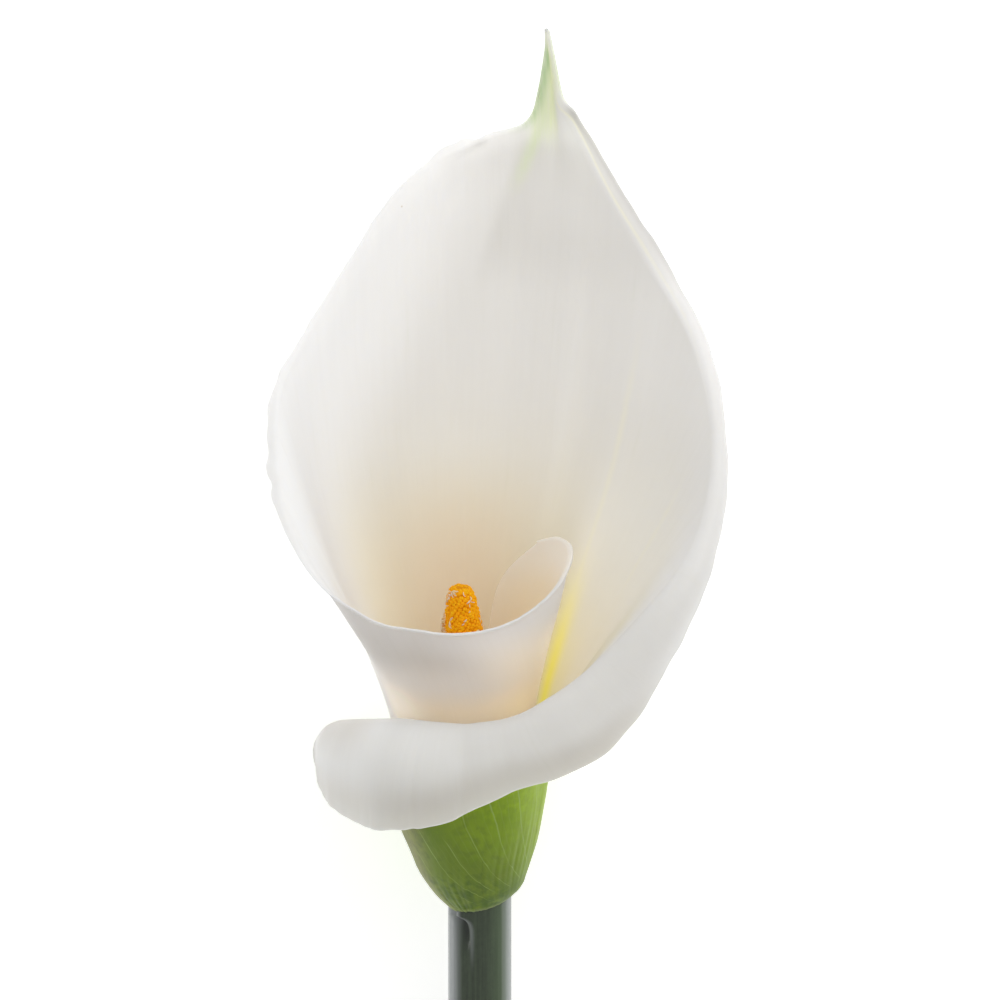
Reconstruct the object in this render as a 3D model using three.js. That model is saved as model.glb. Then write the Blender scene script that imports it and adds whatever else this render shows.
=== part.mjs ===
// Calla lily flower, cut with a length of its stem and laid on its back.
//
// Every piece is first shaped upright, in millimetres: the seat of the spathe is at the origin, +Z runs up
// the flower's own axis, +X is to the right and -Y is the side with the wide rolled lip. The group at the
// end lays the flower down, so that +Y points to the tip and the back of the spathe rests at height zero.
//
// The spathe is one sheet rolled round the axis. A place on it is named by its turn and its height. The turn
// is in degrees: 0 is the middle of the back, positive turns run by the right side to the front and carry the
// outer layer, negative turns run by the left side to the front and carry the inner layer.

import * as THREE from 'three';

// Spathe: the sheet and its roll
const SHEET = 0.9;
const SHEET_EDGE = 0.6;
const ROLL_PITCH = 1.5;
const BASE_TURN_SHARE = 0.38;
const OUTER_MARGIN_DRIFT = 38;
const FLARE_LIMIT = 3.4;

// Spathe: its pointed tip
const TIP_TURN = 26;
const TIP_RISE = 21.5;
const TIP_POWER = 1.15;
const TIP_SPREAD_LEFT = 3;
const TIP_SPREAD_RIGHT = 1.25;
const TIP_LEAN_START = 140;
const TIP_LEAN = 0.0018;
const TIP_FOLD = 1.6;
const TIP_FOLD_START = 138;

// Spathe: the seat at its base, which is higher on the right
const SEAT_HEIGHT = 0.8;
const SEAT_SLOPE = 0.25;
const SEAT_FADE = 30;

// Radius of the rolled tube at each height
const TUBE = [
  [0, 4.6], [2.5, 7.5], [6, 9.6], [12, 11.3], [17, 12.5], [22, 13.2], [27, 13.5],
  [40, 14.2], [52, 16.4], [65, 19.2], [80, 21.3], [110, 22.0],
];

// How far a column of the inner layer has turned at each share of its height, against its turn at the rim
const INNER_ROLL = [
  [0, BASE_TURN_SHARE], [0.15, 0.66], [0.3, 0.95], [0.42, 1.10],
  [0.55, 1.14], [0.74, 1.115], [0.88, 1.06], [1, 1],
];

// The rim, from the inner margin round the left side, over the tip and down the right side to the end of
// the lip: turn, radius, height, flare (a higher one opens later), width of the lip, curl of the lip
const RIM = [
  [-303, 19.5, 72.6, 3.0, 0.4, 20],
  [-285, 21.0, 74.8, 3.0, 0.8, 30],
  [-268, 21.4, 74.2, 3.0, 1.4, 40],
  [-244, 20.3, 69.9, 3.0, 1.5, 50],
  [-212, 18.3, 65.4, 3.0, 1.6, 60],
  [-182, 18.0, 63.9, 3.5, 1.6, 70],
  [-150, 19.8, 64.4, 3.5, 1.4, 60],
  [-125, 23.6, 66.0, 3.6, 1.2, 50],
  [-110, 29.0, 71.5, 3.6, 1.4, 50],
  [-96, 34.9, 84.7, 3.6, 2.2, 70],
  [-78, 37.3, 102.0, 3.0, 2.3, 70],
  [-58, 37.6, 112.0, 2.4, 1.2, 40],
  [-37, 37.0, 126.0, 2.1, 0.7, 20],
  [-19, 38.6, 138.8, 2.0, 0.7, 10],
  [0, 40.4, 146.8, 1.9, 0.8, 10],
  [16, 42.2, 150.6, 1.9, 0.5, 10],
  [24, 42.9, 151.3, 1.9, 0.4, 10],
  [26, 43.0, 151.2, 1.9, 0.3, 10],
  [29, 43.4, 154.0, 1.9, 2.2, 60],
  [32, 43.8, 150.6, 1.9, 3.1, 80],
  [36, 44.2, 144.4, 1.9, 4.6, 100],
  [52, 46.3, 127.6, 2.1, 6.2, 120],
  [68, 49.6, 113.6, 2.3, 5.7, 130],
  [83, 50.4, 99.0, 2.5, 5.0, 140],
  [97, 49.1, 87.2, 2.7, 6.9, 150],
  [110, 46.4, 77.6, 3.0, 10.6, 150],
  [121, 41.0, 68.6, 3.0, 14.6, 150],
  [133, 34.0, 58.8, 3.0, 18.6, 150],
  [147, 27.0, 51.0, 3.0, 21.6, 150],
  [172, 20.8, 45.3, 3.0, 24.9, 150],
  [195, 19.8, 44.2, 3.0, 31.7, 150],
  [216, 20.3, 43.6, 3.0, 32.2, 150],
  [236, 22.3, 42.2, 3.0, 26.0, 145],
  [250, 23.8, 40.8, 3.0, 19.0, 140],
  [258, 24.7, 39.7, 3.0, 10.4, 115],
  [262, 24.9, 39.0, 3.0, 1.4, 60],
];
const INNER_END = RIM[0][0];
const OUTER_END = RIM[RIM.length - 1][0];

// Faces of the spathe: the low rows lie at the same heights all round, so that the layers stay clear
const LOW_ROWS = [0, 1.4, 3, 5, 7.6, 11, 16, 22, 29, 35];
const HIGH_ROWS = 9;
const TIP_ROW_POWER = 7;
const LIP_ROWS = 7;
const COLUMN_STEP = 8;
const TIP_COLUMNS = [-10, -7, -5, -3.6, -2.4, -1.4, -0.6, 0, 0.4, 0.9, 1.5, 2.3, 3.5, 6, 10];

// Spadix
const SPADIX_LEAN = -0.058;
const SPADIX_TOP = 68.5;
const ZONE_BORDER = 18;
const TOUCH_GAP = 0.3;
const SPADIX_PROFILE = [[0, 0], [0.6, 1.7], [2, 2.8], [5, 3.5], [10, 4.1], [20, 4.4], [70, 4.4]];
const MALE_RELIEF = 0.45;
const MALE_STEP = 1.1;
const MALE_SIDES = 24;
const FEMALE_RADIUS = 3.9;
const FEMALE_RELIEF = 0.6;
const FEMALE_STEP = 1.45;
const FEMALE_SIDES = 18;

// Stem
const STEM_RADIUS = 6.2;
const STEM_LENGTH = 120;
const STEM_SIDES = 36;
const STEM_OVAL = 0.03;
const STEM_CUT_SLOPE = 0.3;
const NECK_RADIUS = 3.1;
const NECK_TOP = 1.7;
const FLUTE_TURN = 205;
const FLUTE_DEPTH = 0.9;
const FLUTE_WIDTH = 16;
const FLUTE_LENGTH = 14;

// Lying down: the head rises from the stem's cut end, and the back is pressed flat where it rests
const LIE_TILT = 7.58;
const LIE_ROLL = 0;
const SETTLE = 0.8;

const radians = THREE.MathUtils.degToRad;
const clamp = THREE.MathUtils.clamp;

/** A smooth curve through one column of a table, with each slope taken from the three points round it. */
function curve(table, column = 1) {
  const keys = table.map((row) => row[0]);
  const values = table.map((row) => row[column]);
  const last = keys.length - 1;
  const rise = (i) => (values[i + 1] - values[i]) / (keys[i + 1] - keys[i]);
  const slopes = keys.map((key, i) => {
    if (i === 0) return rise(0);
    if (i === last) return rise(last - 1);
    const before = keys[i] - keys[i - 1];
    const after = keys[i + 1] - keys[i];
    return (rise(i - 1) * after + rise(i) * before) / (before + after);
  });
  return (at) => {
    const x = clamp(at, keys[0], keys[last]);
    const next = keys.findIndex((key, i) => i > 0 && x <= key);
    const i = next - 1;
    const step = keys[next] - keys[i];
    const u = (x - keys[i]) / step;
    const start = (2 * u ** 3 - 3 * u ** 2 + 1) * values[i] + (u ** 3 - 2 * u ** 2 + u) * step * slopes[i];
    const end = (3 * u ** 2 - 2 * u ** 3) * values[next] + (u ** 3 - u ** 2) * step * slopes[next];
    return start + end;
  };
}

const tubeRadius = curve(TUBE);
const innerRoll = curve(INNER_ROLL);
const rimRadius = curve(RIM, 1);
const rimHeight = curve(RIM, 2);
const rimFlare = curve(RIM, 3);
const lipWidth = curve(RIM, 4);
const lipCurl = curve(RIM, 5);

/** The tube's centre line leans a little to the left above the seat. */
function centreX(z) {
  const height = clamp(z, 0, 70);
  return -1.8 * (1 - Math.exp(-((height / 16) ** 2))) - 0.03 * height;
}

/** Height of the rim with its pointed tip, a narrow cusp that falls away more steeply on the right. */
function crestHeight(rimTurn) {
  const away = rimTurn - TIP_TURN;
  const spread = away < 0 ? TIP_SPREAD_LEFT : TIP_SPREAD_RIGHT;
  const distance = Math.abs(away) / spread;
  return rimHeight(rimTurn) + TIP_RISE * Math.exp(-(distance ** TIP_POWER));
}

/** Turn that a column has at a share of its height: the roll is tighter in the tube than at the rim. */
function columnTurn(rimTurn, share) {
  if (rimTurn < 0) return rimTurn * innerRoll(share);
  return rimTurn + OUTER_MARGIN_DRIFT * (1 - share) * (rimTurn / OUTER_END) ** 2;
}

/** A point of the sheet's middle below the rim, on the column that ends at rimTurn. */
function sheetPoint(rimTurn, z) {
  const share = z / crestHeight(rimTurn);
  const turn = columnTurn(rimTurn, share);
  const flare = rimFlare(rimTurn);
  const rise = z / rimHeight(rimTurn);
  const opening = rise ** flare * (1 + Math.max(FLARE_LIMIT - flare, 0) * (1 - rise));
  const spare = rimRadius(rimTurn) - tubeRadius(rimHeight(rimTurn));
  const spiral = ROLL_PITCH * (turn / 360) * (1 - share ** 4);
  const sides = 1 - Math.exp(-(((rimTurn - TIP_TURN) / 2) ** 2));
  const near = Math.exp(-(((rimTurn - TIP_TURN) / 9) ** 2));
  const fold = TIP_FOLD * sides * near * clamp((z - TIP_FOLD_START) / 20, 0, 1) ** 1.5;
  const radius = tubeRadius(z) + spare * opening + spiral - fold;
  const lean = TIP_LEAN * Math.max(z - TIP_LEAN_START, 0) ** 2;
  const x = radius * Math.sin(radians(turn));
  const y = radius * Math.cos(radians(turn));
  const seat = Math.max(1 - z / SEAT_FADE, 0) ** 3;
  return new THREE.Vector3(centreX(z) + x - lean, y, z + seat * (SEAT_HEIGHT + SEAT_SLOPE * x));
}

/** Turns of the columns at the rim: evenly spaced, and close together at the tip. */
function columnTurns() {
  const even = (from, to) => {
    const count = Math.ceil((to - from) / COLUMN_STEP);
    return Array.from({ length: count + 1 }, (_, i) => from + ((to - from) * i) / count);
  };
  const tip = TIP_COLUMNS.map((away) => TIP_TURN + away);
  const left = even(INNER_END, tip[0]);
  const right = even(tip[tip.length - 1], OUTER_END);
  return [...left, ...tip.slice(1, -1), ...right];
}

/** Height of one row of a column: the shared low rows, then even steps to the rim; the last ones climb the tip. */
function rowHeight(row, rimTurn) {
  if (row < LOW_ROWS.length) return LOW_ROWS[row];
  const low = LOW_ROWS[LOW_ROWS.length - 1];
  const rim = rimHeight(rimTurn);
  const share = (row - LOW_ROWS.length + 1) / HIGH_ROWS;
  return low + (rim - low) * share + (crestHeight(rimTurn) - rim) * share ** TIP_ROW_POWER;
}

/** The lip: it leaves the rim square to it, and curls outwards most at its root. */
function lipPoints(rimTurn, crest, along) {
  const height = crestHeight(rimTurn);
  const up = crest.clone().sub(sheetPoint(rimTurn, height - 1));
  const around = sheetPoint(rimTurn + 1, height).sub(sheetPoint(rimTurn - 1, height));
  const normal = new THREE.Vector3().crossVectors(up, around).normalize();
  const onward = new THREE.Vector3().crossVectors(along, normal).normalize();
  const width = lipWidth(rimTurn);
  const curl = radians(lipCurl(rimTurn));
  const points = [];
  const place = crest.clone();
  const steps = 4;
  for (let i = 0; i < LIP_ROWS * steps; i += 1) {
    const share = (i + 0.5) / (LIP_ROWS * steps);
    const heading = curl * (1 - (1 - share) ** 2);
    const step = width / (LIP_ROWS * steps);
    place.addScaledVector(onward, Math.cos(heading) * step);
    place.addScaledVector(normal, Math.sin(heading) * step);
    if ((i + 1) % steps === 0) points.push(place.clone());
  }
  return points;
}

/** Rows of points over the whole sheet, from the seat to the free edge of the lip. */
function sheetRows() {
  const turns = columnTurns();
  const bodyRows = LOW_ROWS.length + HIGH_ROWS;
  const rows = [];
  for (let row = 0; row < bodyRows; row += 1) {
    rows.push(turns.map((turn) => sheetPoint(turn, rowHeight(row, turn))));
  }
  const crest = rows[bodyRows - 1];
  const lips = turns.map((turn, i) => {
    const before = crest[Math.max(i - 1, 0)];
    const after = crest[Math.min(i + 1, turns.length - 1)];
    return lipPoints(turn, crest[i], after.clone().sub(before));
  });
  for (let row = 0; row < LIP_ROWS; row += 1) rows.push(lips.map((points) => points[row]));
  return rows;
}

/** Normals of a grid of points, from the differences to the neighbours; they point out of the roll. */
function gridNormals(rows) {
  const lastRow = rows.length - 1;
  const lastColumn = rows[0].length - 1;
  return rows.map((points, r) => points.map((point, c) => {
    const up = rows[Math.min(r + 1, lastRow)][c].clone().sub(rows[Math.max(r - 1, 0)][c]);
    const along = points[Math.min(c + 1, lastColumn)].clone().sub(points[Math.max(c - 1, 0)]);
    return up.cross(along).normalize();
  }));
}

/** Puts a point that reaches past a plane back on it. */
function pressFlat(point, plane) {
  const past = plane.distanceToPoint(point);
  if (past > 0) point.addScaledVector(plane.normal, -past);
}

/** Makes a BufferGeometry of points and triangles. */
function solid(points, triangles) {
  const geometry = new THREE.BufferGeometry();
  geometry.setFromPoints(points);
  geometry.setIndex(triangles);
  geometry.computeVertexNormals();
  return geometry;
}

/** A sheet with thickness: the grid's points moved out and in, split alike on both faces, with edge walls. */
function sheetGeometry(rows, halfThickness, floor) {
  const normals = gridNormals(rows);
  const height = rows.length;
  const width = rows[0].length;
  const outer = [];
  const inner = [];
  const innerFloor = floor.clone();
  innerFloor.constant += SHEET;
  rows.forEach((points, r) => points.forEach((point, c) => {
    const half = halfThickness(r, c);
    outer.push(point.clone().addScaledVector(normals[r][c], half));
    inner.push(point.clone().addScaledVector(normals[r][c], -half));
  }));
  outer.forEach((point) => pressFlat(point, floor));
  inner.forEach((point) => pressFlat(point, innerFloor));
  const inside = outer.length;
  const at = (r, c) => r * width + c;
  const triangles = [];
  const wall = (from, to) => {
    triangles.push(to, from, from + inside, to, from + inside, to + inside);
  };
  for (let r = 0; r < height - 1; r += 1) {
    for (let c = 0; c < width - 1; c += 1) {
      const corners = [at(r, c), at(r + 1, c), at(r + 1, c + 1), at(r, c + 1)];
      const [a, b, d, e] = corners;
      triangles.push(a, b, d, a, d, e);
      triangles.push(a + inside, d + inside, b + inside, a + inside, e + inside, d + inside);
    }
  }
  for (let c = 0; c < width - 1; c += 1) {
    wall(at(0, c + 1), at(0, c));
    wall(at(height - 1, c), at(height - 1, c + 1));
  }
  for (let r = 0; r < height - 1; r += 1) {
    wall(at(r, 0), at(r + 1, 0));
    wall(at(r + 1, width - 1), at(r, width - 1));
  }
  return solid([...outer, ...inner], triangles);
}

/** A closed tube through rings of points that run anticlockwise seen from above, from the lowest up. */
function tubeGeometry(rings) {
  const sides = rings[0].length;
  const points = rings.flat();
  const triangles = [];
  for (let r = 0; r < rings.length - 1; r += 1) {
    for (let s = 0; s < sides; s += 1) {
      const a = r * sides + s;
      const b = r * sides + ((s + 1) % sides);
      triangles.push(a, b, b + sides, a, b + sides, a + sides);
    }
  }
  const middle = (ring) => ring.reduce((sum, point) => sum.add(point), new THREE.Vector3())
    .divideScalar(sides);
  const bottom = points.push(middle(rings[0])) - 1;
  const top = points.push(middle(rings[rings.length - 1])) - 1;
  const topStart = (rings.length - 1) * sides;
  for (let s = 0; s < sides; s += 1) {
    const next = (s + 1) % sides;
    triangles.push(bottom, next, s);
    triangles.push(top, topStart + s, topStart + next);
  }
  return solid(points, triangles);
}

/** One level ring round an upright axis at x; radiusAt gives the radius at each turn. */
function ring(x, z, sides, radiusAt) {
  return Array.from({ length: sides }, (_, i) => {
    const angle = (i / sides) * 2 * Math.PI;
    const radius = radiusAt(angle, i);
    return new THREE.Vector3(x + radius * Math.cos(angle), radius * Math.sin(angle), z);
  });
}

/** A stretch of the spadix whose florets stand out in a staggered net, one raised corner each. */
function floretGeometry(from, to, step, sides, radiusAt, relief) {
  const count = Math.round((to - from) / step);
  const rings = [];
  for (let row = 0; row <= count; row += 1) {
    const z = from + ((to - from) * row) / count;
    const end = row === 0 || row === count;
    rings.push(ring(SPADIX_LEAN * z, z, sides, (angle, i) => {
      const raised = !end && (row + i) % 2 === 0;
      return radiusAt(z) + (raised ? relief : 0);
    }));
  }
  return tubeGeometry(rings);
}

/** The upper spadix: pollen-bearing florets on a blunt finger. */
function maleZone() {
  const profile = curve(SPADIX_PROFILE);
  const topRing = 0.15;
  const from = ZONE_BORDER + TOUCH_GAP;
  const radiusAt = (z) => profile(SPADIX_TOP - z);
  return floretGeometry(from, SPADIX_TOP - topRing, MALE_STEP, MALE_SIDES, radiusAt, MALE_RELIEF);
}

/** The lower spadix: larger ovaries round its foot. */
function femaleZone() {
  const from = NECK_TOP + TOUCH_GAP;
  const radiusAt = () => FEMALE_RADIUS;
  return floretGeometry(from, ZONE_BORDER, FEMALE_STEP, FEMALE_SIDES, radiusAt, FEMALE_RELIEF);
}

/** The stem: a fleshy round stalk with a slanting cut below, a shallow flute at its top front and a neck. */
function stemGeometry(floor) {
  const shoulder = SEAT_HEIGHT - SHEET / 2 - TOUCH_GAP;
  const flute = (angle, z) => {
    const turn = THREE.MathUtils.euclideanModulo(90 - THREE.MathUtils.radToDeg(angle), 360);
    const across = (turn - FLUTE_TURN) / FLUTE_WIDTH;
    const down = (z + 3) / FLUTE_LENGTH;
    return FLUTE_DEPTH * Math.exp(-(across ** 2)) * Math.exp(-(down ** 2));
  };
  const body = (z, radius, slope) => {
    const points = ring(0, z, STEM_SIDES, (angle) => {
      return radius * (1 + STEM_OVAL * Math.cos(2 * angle)) - flute(angle, z);
    });
    points.forEach((point) => {
      point.z += slope * point.x;
    });
    return points;
  };
  const rings = [];
  const cut = body(-STEM_LENGTH, STEM_RADIUS, 0);
  cut.forEach((point) => {
    point.z -= STEM_CUT_SLOPE * point.y;
  });
  rings.push(cut);
  [-110, -96, -80, -64, -48, -34, -24, -16, -11, -7, -4.5].forEach((z) => {
    rings.push(body(z, STEM_RADIUS, 0));
  });
  rings.push(body(-2.4, STEM_RADIUS, SEAT_SLOPE));
  rings.push(body(shoulder - 0.9, STEM_RADIUS - 0.25, SEAT_SLOPE));
  rings.push(body(shoulder, STEM_RADIUS - 1.2, SEAT_SLOPE));
  rings.push(ring(0, shoulder + 0.3, STEM_SIDES, () => NECK_RADIUS));
  rings.push(ring(SPADIX_LEAN * NECK_TOP, NECK_TOP, STEM_SIDES, () => NECK_RADIUS));
  rings.flat().forEach((point) => pressFlat(point, floor));
  return tubeGeometry(rings);
}

/** The spathe as one closed sheet, thinner at its free edges. */
function spatheGeometry(rows, floor) {
  const lastColumn = rows[0].length - 1;
  const lastRow = rows.length - 1;
  const halfThickness = (r, c) => {
    const free = r === lastRow || c === 0 || c === lastColumn;
    return (free ? SHEET_EDGE : SHEET) / 2;
  };
  return sheetGeometry(rows, halfThickness, floor);
}

/** The surface that the flower lies on, as a plane in the upright flower's own frame. */
function floorPlane(rows, turned) {
  const down = new THREE.Vector3(0, 0, -1).applyEuler(turned).normalize();
  const reach = Math.max(...rows.flat().map((point) => point.dot(down)));
  return new THREE.Plane(down, SETTLE - reach - SHEET / 2);
}

function material(name, color, roughness) {
  return new THREE.MeshStandardMaterial({ name, color, roughness, metalness: 0 });
}

const cream = material('spathe tissue', 0xece8dc, 0.45);
const orange = material('pollen-bearing florets', 0xe09a10, 0.7);
const paleGreen = material('ovaries', 0xb9c77a, 0.6);
const darkGreen = material('stem skin', 0x4a5a48, 0.45);

const lying = new THREE.Euler(radians(LIE_TILT - 90), 0, radians(LIE_ROLL), 'XYZ');
const upright = new THREE.Quaternion().setFromEuler(lying).invert();
const rows = sheetRows();
const floor = floorPlane(rows, new THREE.Euler().setFromQuaternion(upright));

const pieces = [
  ['stem', stemGeometry(floor), darkGreen],
  ['spathe', spatheGeometry(rows, floor), cream],
  ['spadix_male_zone', maleZone(), orange],
  ['spadix_female_zone', femaleZone(), paleGreen],
];

const flower = new THREE.Group();
pieces.forEach(([name, geometry, surface]) => {
  const mesh = new THREE.Mesh(geometry, surface);
  mesh.name = name;
  flower.add(mesh);
});

/** Middle of the flat spot on the spathe's back, in the upright frame. */
function restPoint(geometry, plane) {
  const place = geometry.getAttribute('position');
  const spot = new THREE.Box3();
  const point = new THREE.Vector3();
  for (let i = 0; i < place.count; i += 1) {
    point.fromBufferAttribute(place, i);
    if (Math.abs(plane.distanceToPoint(point)) < 1e-4) spot.expandByPoint(point.applyEuler(lying));
  }
  return spot.getCenter(new THREE.Vector3());
}

const spathe = flower.children[1];
flower.rotation.copy(lying);
flower.position.copy(restPoint(spathe.geometry, floor)).negate();

export default flower;
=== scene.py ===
"""A cut calla lily: one white spathe rolled round an orange spadix, on a short length of green stem.

The flower is worked out upright in millimetres, with the seat of the bloom at the origin, and then laid
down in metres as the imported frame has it.
"""

import math
from functools import partial

import bpy
import numpy as np
from bpy.props import FloatProperty, FloatVectorProperty, IntProperty, PointerProperty
from bpy.types import Operator, Panel, PropertyGroup
from mathutils import Matrix, Vector


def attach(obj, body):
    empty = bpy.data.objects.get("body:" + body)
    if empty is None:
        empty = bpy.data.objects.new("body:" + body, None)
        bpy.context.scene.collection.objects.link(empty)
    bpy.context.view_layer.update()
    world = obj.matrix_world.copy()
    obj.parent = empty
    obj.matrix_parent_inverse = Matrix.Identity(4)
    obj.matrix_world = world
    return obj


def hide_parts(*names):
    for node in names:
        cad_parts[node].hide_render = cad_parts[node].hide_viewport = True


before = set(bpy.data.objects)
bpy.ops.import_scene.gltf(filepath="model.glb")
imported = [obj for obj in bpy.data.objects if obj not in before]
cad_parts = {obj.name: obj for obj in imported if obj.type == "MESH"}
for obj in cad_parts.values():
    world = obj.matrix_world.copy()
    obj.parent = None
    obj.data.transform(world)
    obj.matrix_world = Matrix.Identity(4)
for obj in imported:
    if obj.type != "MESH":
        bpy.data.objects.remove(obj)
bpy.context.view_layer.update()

bl_info = {
    "name": "Calla lily flower",
    "version": (1, 0, 0),
    "blender": (4, 5, 0),
    "location": "3D View > Sidebar > Calla lily",
    "description": "Builds a cut calla lily flower from its spathe, spadix and stem",
    "category": "Add Mesh",
}

MM = 0.001

# How the flower lies: turned about X, then moved, from upright millimetres to the row frame
LIE_TURN = math.radians(7.58 - 90)
FLOWER_AT = np.array([-1.6158, -120.6645, 21.6691])

# Spathe: all lengths in mm and turns in degrees, 0 at the back and growing towards the outer margin
SHEET = 0.9
THINNEST_HALF = 0.03
# How far the roll opens in a turn, how much further its inner end is wrapped just under the rim, and how far
# the outer margin swings round on its way down to the seat
ROLL_PITCH = 1.5
INNER_WRAP = 0.04
OUTER_MARGIN_DRIFT = 38
# Columns whose flare is under this open sooner than their power of the height alone
FLARE_LIMIT = 3.4
# Tip: its turn, its rise over the rim, how it falls away on each side, and how it leans and folds
TIP_TURN = 26
TIP_RISE = 21.5
TIP_SPREAD_LEFT = 3.0
TIP_SPREAD_RIGHT = 1.25
TIP_POWER = 1.15
TIP_LEAN_START = 140
TIP_LEAN = 0.0018
TIP_FOLD = 1.6
TIP_FOLD_START = 138
# The foot is raised and slopes with x on its seat, and both fade out above it
SEAT_HEIGHT = 0.3
SEAT_SLOPE = 0.25
SEAT_FADE = 30
# Rows and columns of the sheet: low rows up to LOW_TOP, high ones that crowd towards the rim, and the lip's
LOW_TOP = 35
LOW_ROWS = 20
HIGH_ROWS = 44
ROW_CROWDING = 1.45
TIP_ROW_POWER = 7
LIP_ROWS = 30
LIP_STEPS = 420
COLUMNS = 500
# Veins of the foot: degrees from one to the next, and how they slant and swing to one side near the seat
VEIN_SPACING = 22
VEIN_SLANT = 0.6
VEIN_SWING = 85
VEIN_SWING_HEIGHT = 6
# The value of the painted shade mask where the tissue is painted darkest
PAINTED_SHADE_MOST = 3.0

# Radius of the rolled tube at each height
TUBE = np.array([[0, 4.6], [2.5, 7.1], [6, 9.05], [9, 10.35], [12, 11.25], [17, 12.5], [22, 13.2], [27, 13.5],
                 [40, 14.2], [52, 16.4], [65, 19.2], [80, 21.3], [110, 22.0]])
# How much of its rim turn an inner column has at each share of its height
INNER_ROLL = np.array([[0, 0.38], [0.15, 0.66], [0.3, 0.95], [0.42, 1.10],
                       [0.55, 1.14], [0.74, 1.115], [0.88, 1.06], [1, 1]])
# Rim: turn, radius, height, flare, width of the lip and how far the lip curls
RIM = np.array([
    [-303, 19.5, 72.6, 3.0, 0.4, 20],
    [-285, 21.0, 74.8, 3.0, 0.8, 30],
    [-268, 21.4, 74.2, 3.0, 1.4, 40],
    [-244, 20.3, 69.9, 3.0, 1.5, 50],
    [-212, 18.3, 65.4, 3.0, 1.6, 60],
    [-182, 18.0, 63.9, 3.5, 1.6, 70],
    [-150, 19.8, 64.4, 3.5, 1.4, 60],
    [-125, 23.6, 66.0, 3.6, 1.2, 50],
    [-110, 29.0, 71.5, 3.6, 1.4, 50],
    [-96, 34.9, 84.7, 3.6, 2.2, 70],
    [-78, 37.3, 102.0, 3.0, 2.3, 70],
    [-58, 37.6, 112.0, 2.4, 1.2, 40],
    [-37, 37.0, 126.0, 2.1, 0.7, 20],
    [-19, 38.6, 138.8, 2.0, 0.7, 10],
    [0, 40.4, 146.8, 1.9, 0.8, 10],
    [16, 42.2, 150.6, 1.9, 0.5, 10],
    [24, 42.9, 151.3, 1.9, 0.4, 10],
    [26, 43.0, 151.2, 1.9, 0.3, 10],
    [29, 43.4, 154.0, 1.9, 2.2, 60],
    [32, 43.8, 150.6, 1.9, 3.1, 80],
    [36, 44.2, 144.4, 1.9, 4.6, 100],
    [52, 46.3, 127.6, 2.1, 6.2, 120],
    [68, 49.6, 113.6, 2.3, 5.7, 130],
    [83, 50.4, 99.0, 2.5, 5.0, 140],
    [97, 49.1, 87.2, 2.7, 6.9, 150],
    [110, 46.4, 77.6, 3.0, 10.6, 150],
    [121, 41.0, 68.6, 3.0, 14.6, 150],
    [133, 34.0, 58.3, 3.0, 18.6, 150],
    [147, 27.0, 49.9, 3.0, 20.4, 150],
    [172, 20.8, 44.3, 3.0, 24.5, 150],
    [195, 19.8, 43.4, 3.0, 31.4, 150],
    [216, 20.3, 43.2, 3.0, 32.2, 150],
    [236, 22.3, 42.2, 3.0, 26.0, 145],
    [250, 23.8, 40.8, 3.0, 19.0, 140],
    [258, 24.7, 39.7, 3.0, 10.4, 115],
    [262, 24.9, 39.0, 3.0, 1.4, 60],
])
# The same without the small rise beside the tip: the bowl opens by it
OPEN_RIM = np.delete(RIM, np.flatnonzero(RIM[:, 0] == 29), 0)
INNER_END = RIM[0, 0]
OUTER_END = RIM[-1, 0]
# Bumps and nicks of the margin: height, turn and spread
LIP_BUMPS = [
    (1.1, -4, 4), (0.75, 1.4, 1.6), (-0.35, 4.6, 1.2), (0.3, -77, 2.2), (0.35, -87.6, 1.3), (-0.5, -90.6, 0.9),
    (0.2, -93, 1.2), (-0.3, 196.4, 1.2), (0.2, 199.5, 1.6), (0.9, 140, 4), (-1.7, 158, 7), (0.3, 182, 5),
    (-0.2, 224, 7),
]

# Spadix
SPADIX_LEAN = -0.06
SPADIX_TOP = 68.5
ZONE_BORDER = 18
TOUCH_GAP = 0.3
SPADIX_PROFILE = np.array([[0, 0], [0.6, 1.7], [2, 2.8], [5, 3.5], [10, 4.1], [20, 4.4], [70, 4.4]])
# Florets: how far the finger lies under them, how deep they sit in it, and their height and cleft as shares
FINGER_INSET = 0.6
FLORET_SINK = 0.62
FLORET_HEIGHT = 0.44
FLORET_CLEFT = 0.22
FLORET_SEED = 21
# Ovaries, whose pitch and height, and their stigmas' width and height, are shares of their width
OVARY_RADIUS = 3.9
OVARY_INSET = 0.3
OVARY_PITCH = 0.88
OVARY_HEIGHT = 0.42
STIGMA_WIDTH = 0.3
STIGMA_HEIGHT = 0.12
OVARY_SEED = 22
# Where pollen clings: turn, height, spread and share of the threads
POLLEN_SPOTS = np.array([
    [262, 58.6, 9, 0.22], [282, 57.0, 14, 0.20], [250, 65.4, 4, 0.03], [226, 67.3, 5, 0.10],
    [228, 61.0, 6, 0.05], [178, 61.8, 3, 0.03], [143, 66.0, 4, 0.03], [112, 57.6, 10, 0.12],
])
# The rest of it: anywhere on the finger
POLLEN_REST = [180, 46, 120, 0]
POLLEN_THICKNESS = np.array([0.5, 0.9, 1, 1.15, 1, 0.9, 0.5])
POLLEN_SIDES = 5
GOLDEN_TURN = math.pi * (3 - math.sqrt(5))

# Stem
STEM_RADIUS = 6.2
STEM_LENGTH = 120
STEM_OVAL = 0.03
STEM_CUT_SLOPE = 0.3
STEM_CREST = 0.14
# Where the stem stands beside the seat's centre, and the millimetres of its height that count as 1 in its flow
STEM_SHIFT = -0.28
FLOW_LENGTH = 6
NECK_RADIUS = 3.1
NECK_TOP = 1.7

# Camera: what it looks at, how far off it stands and how steeply it looks down, beside the upright flower
LOOK_AT = np.array([3.8, 2.33, 85.35])
LOOK_FROM = 3000
LOOK_DOWN = math.radians(20)
SENSOR = 36

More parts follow.
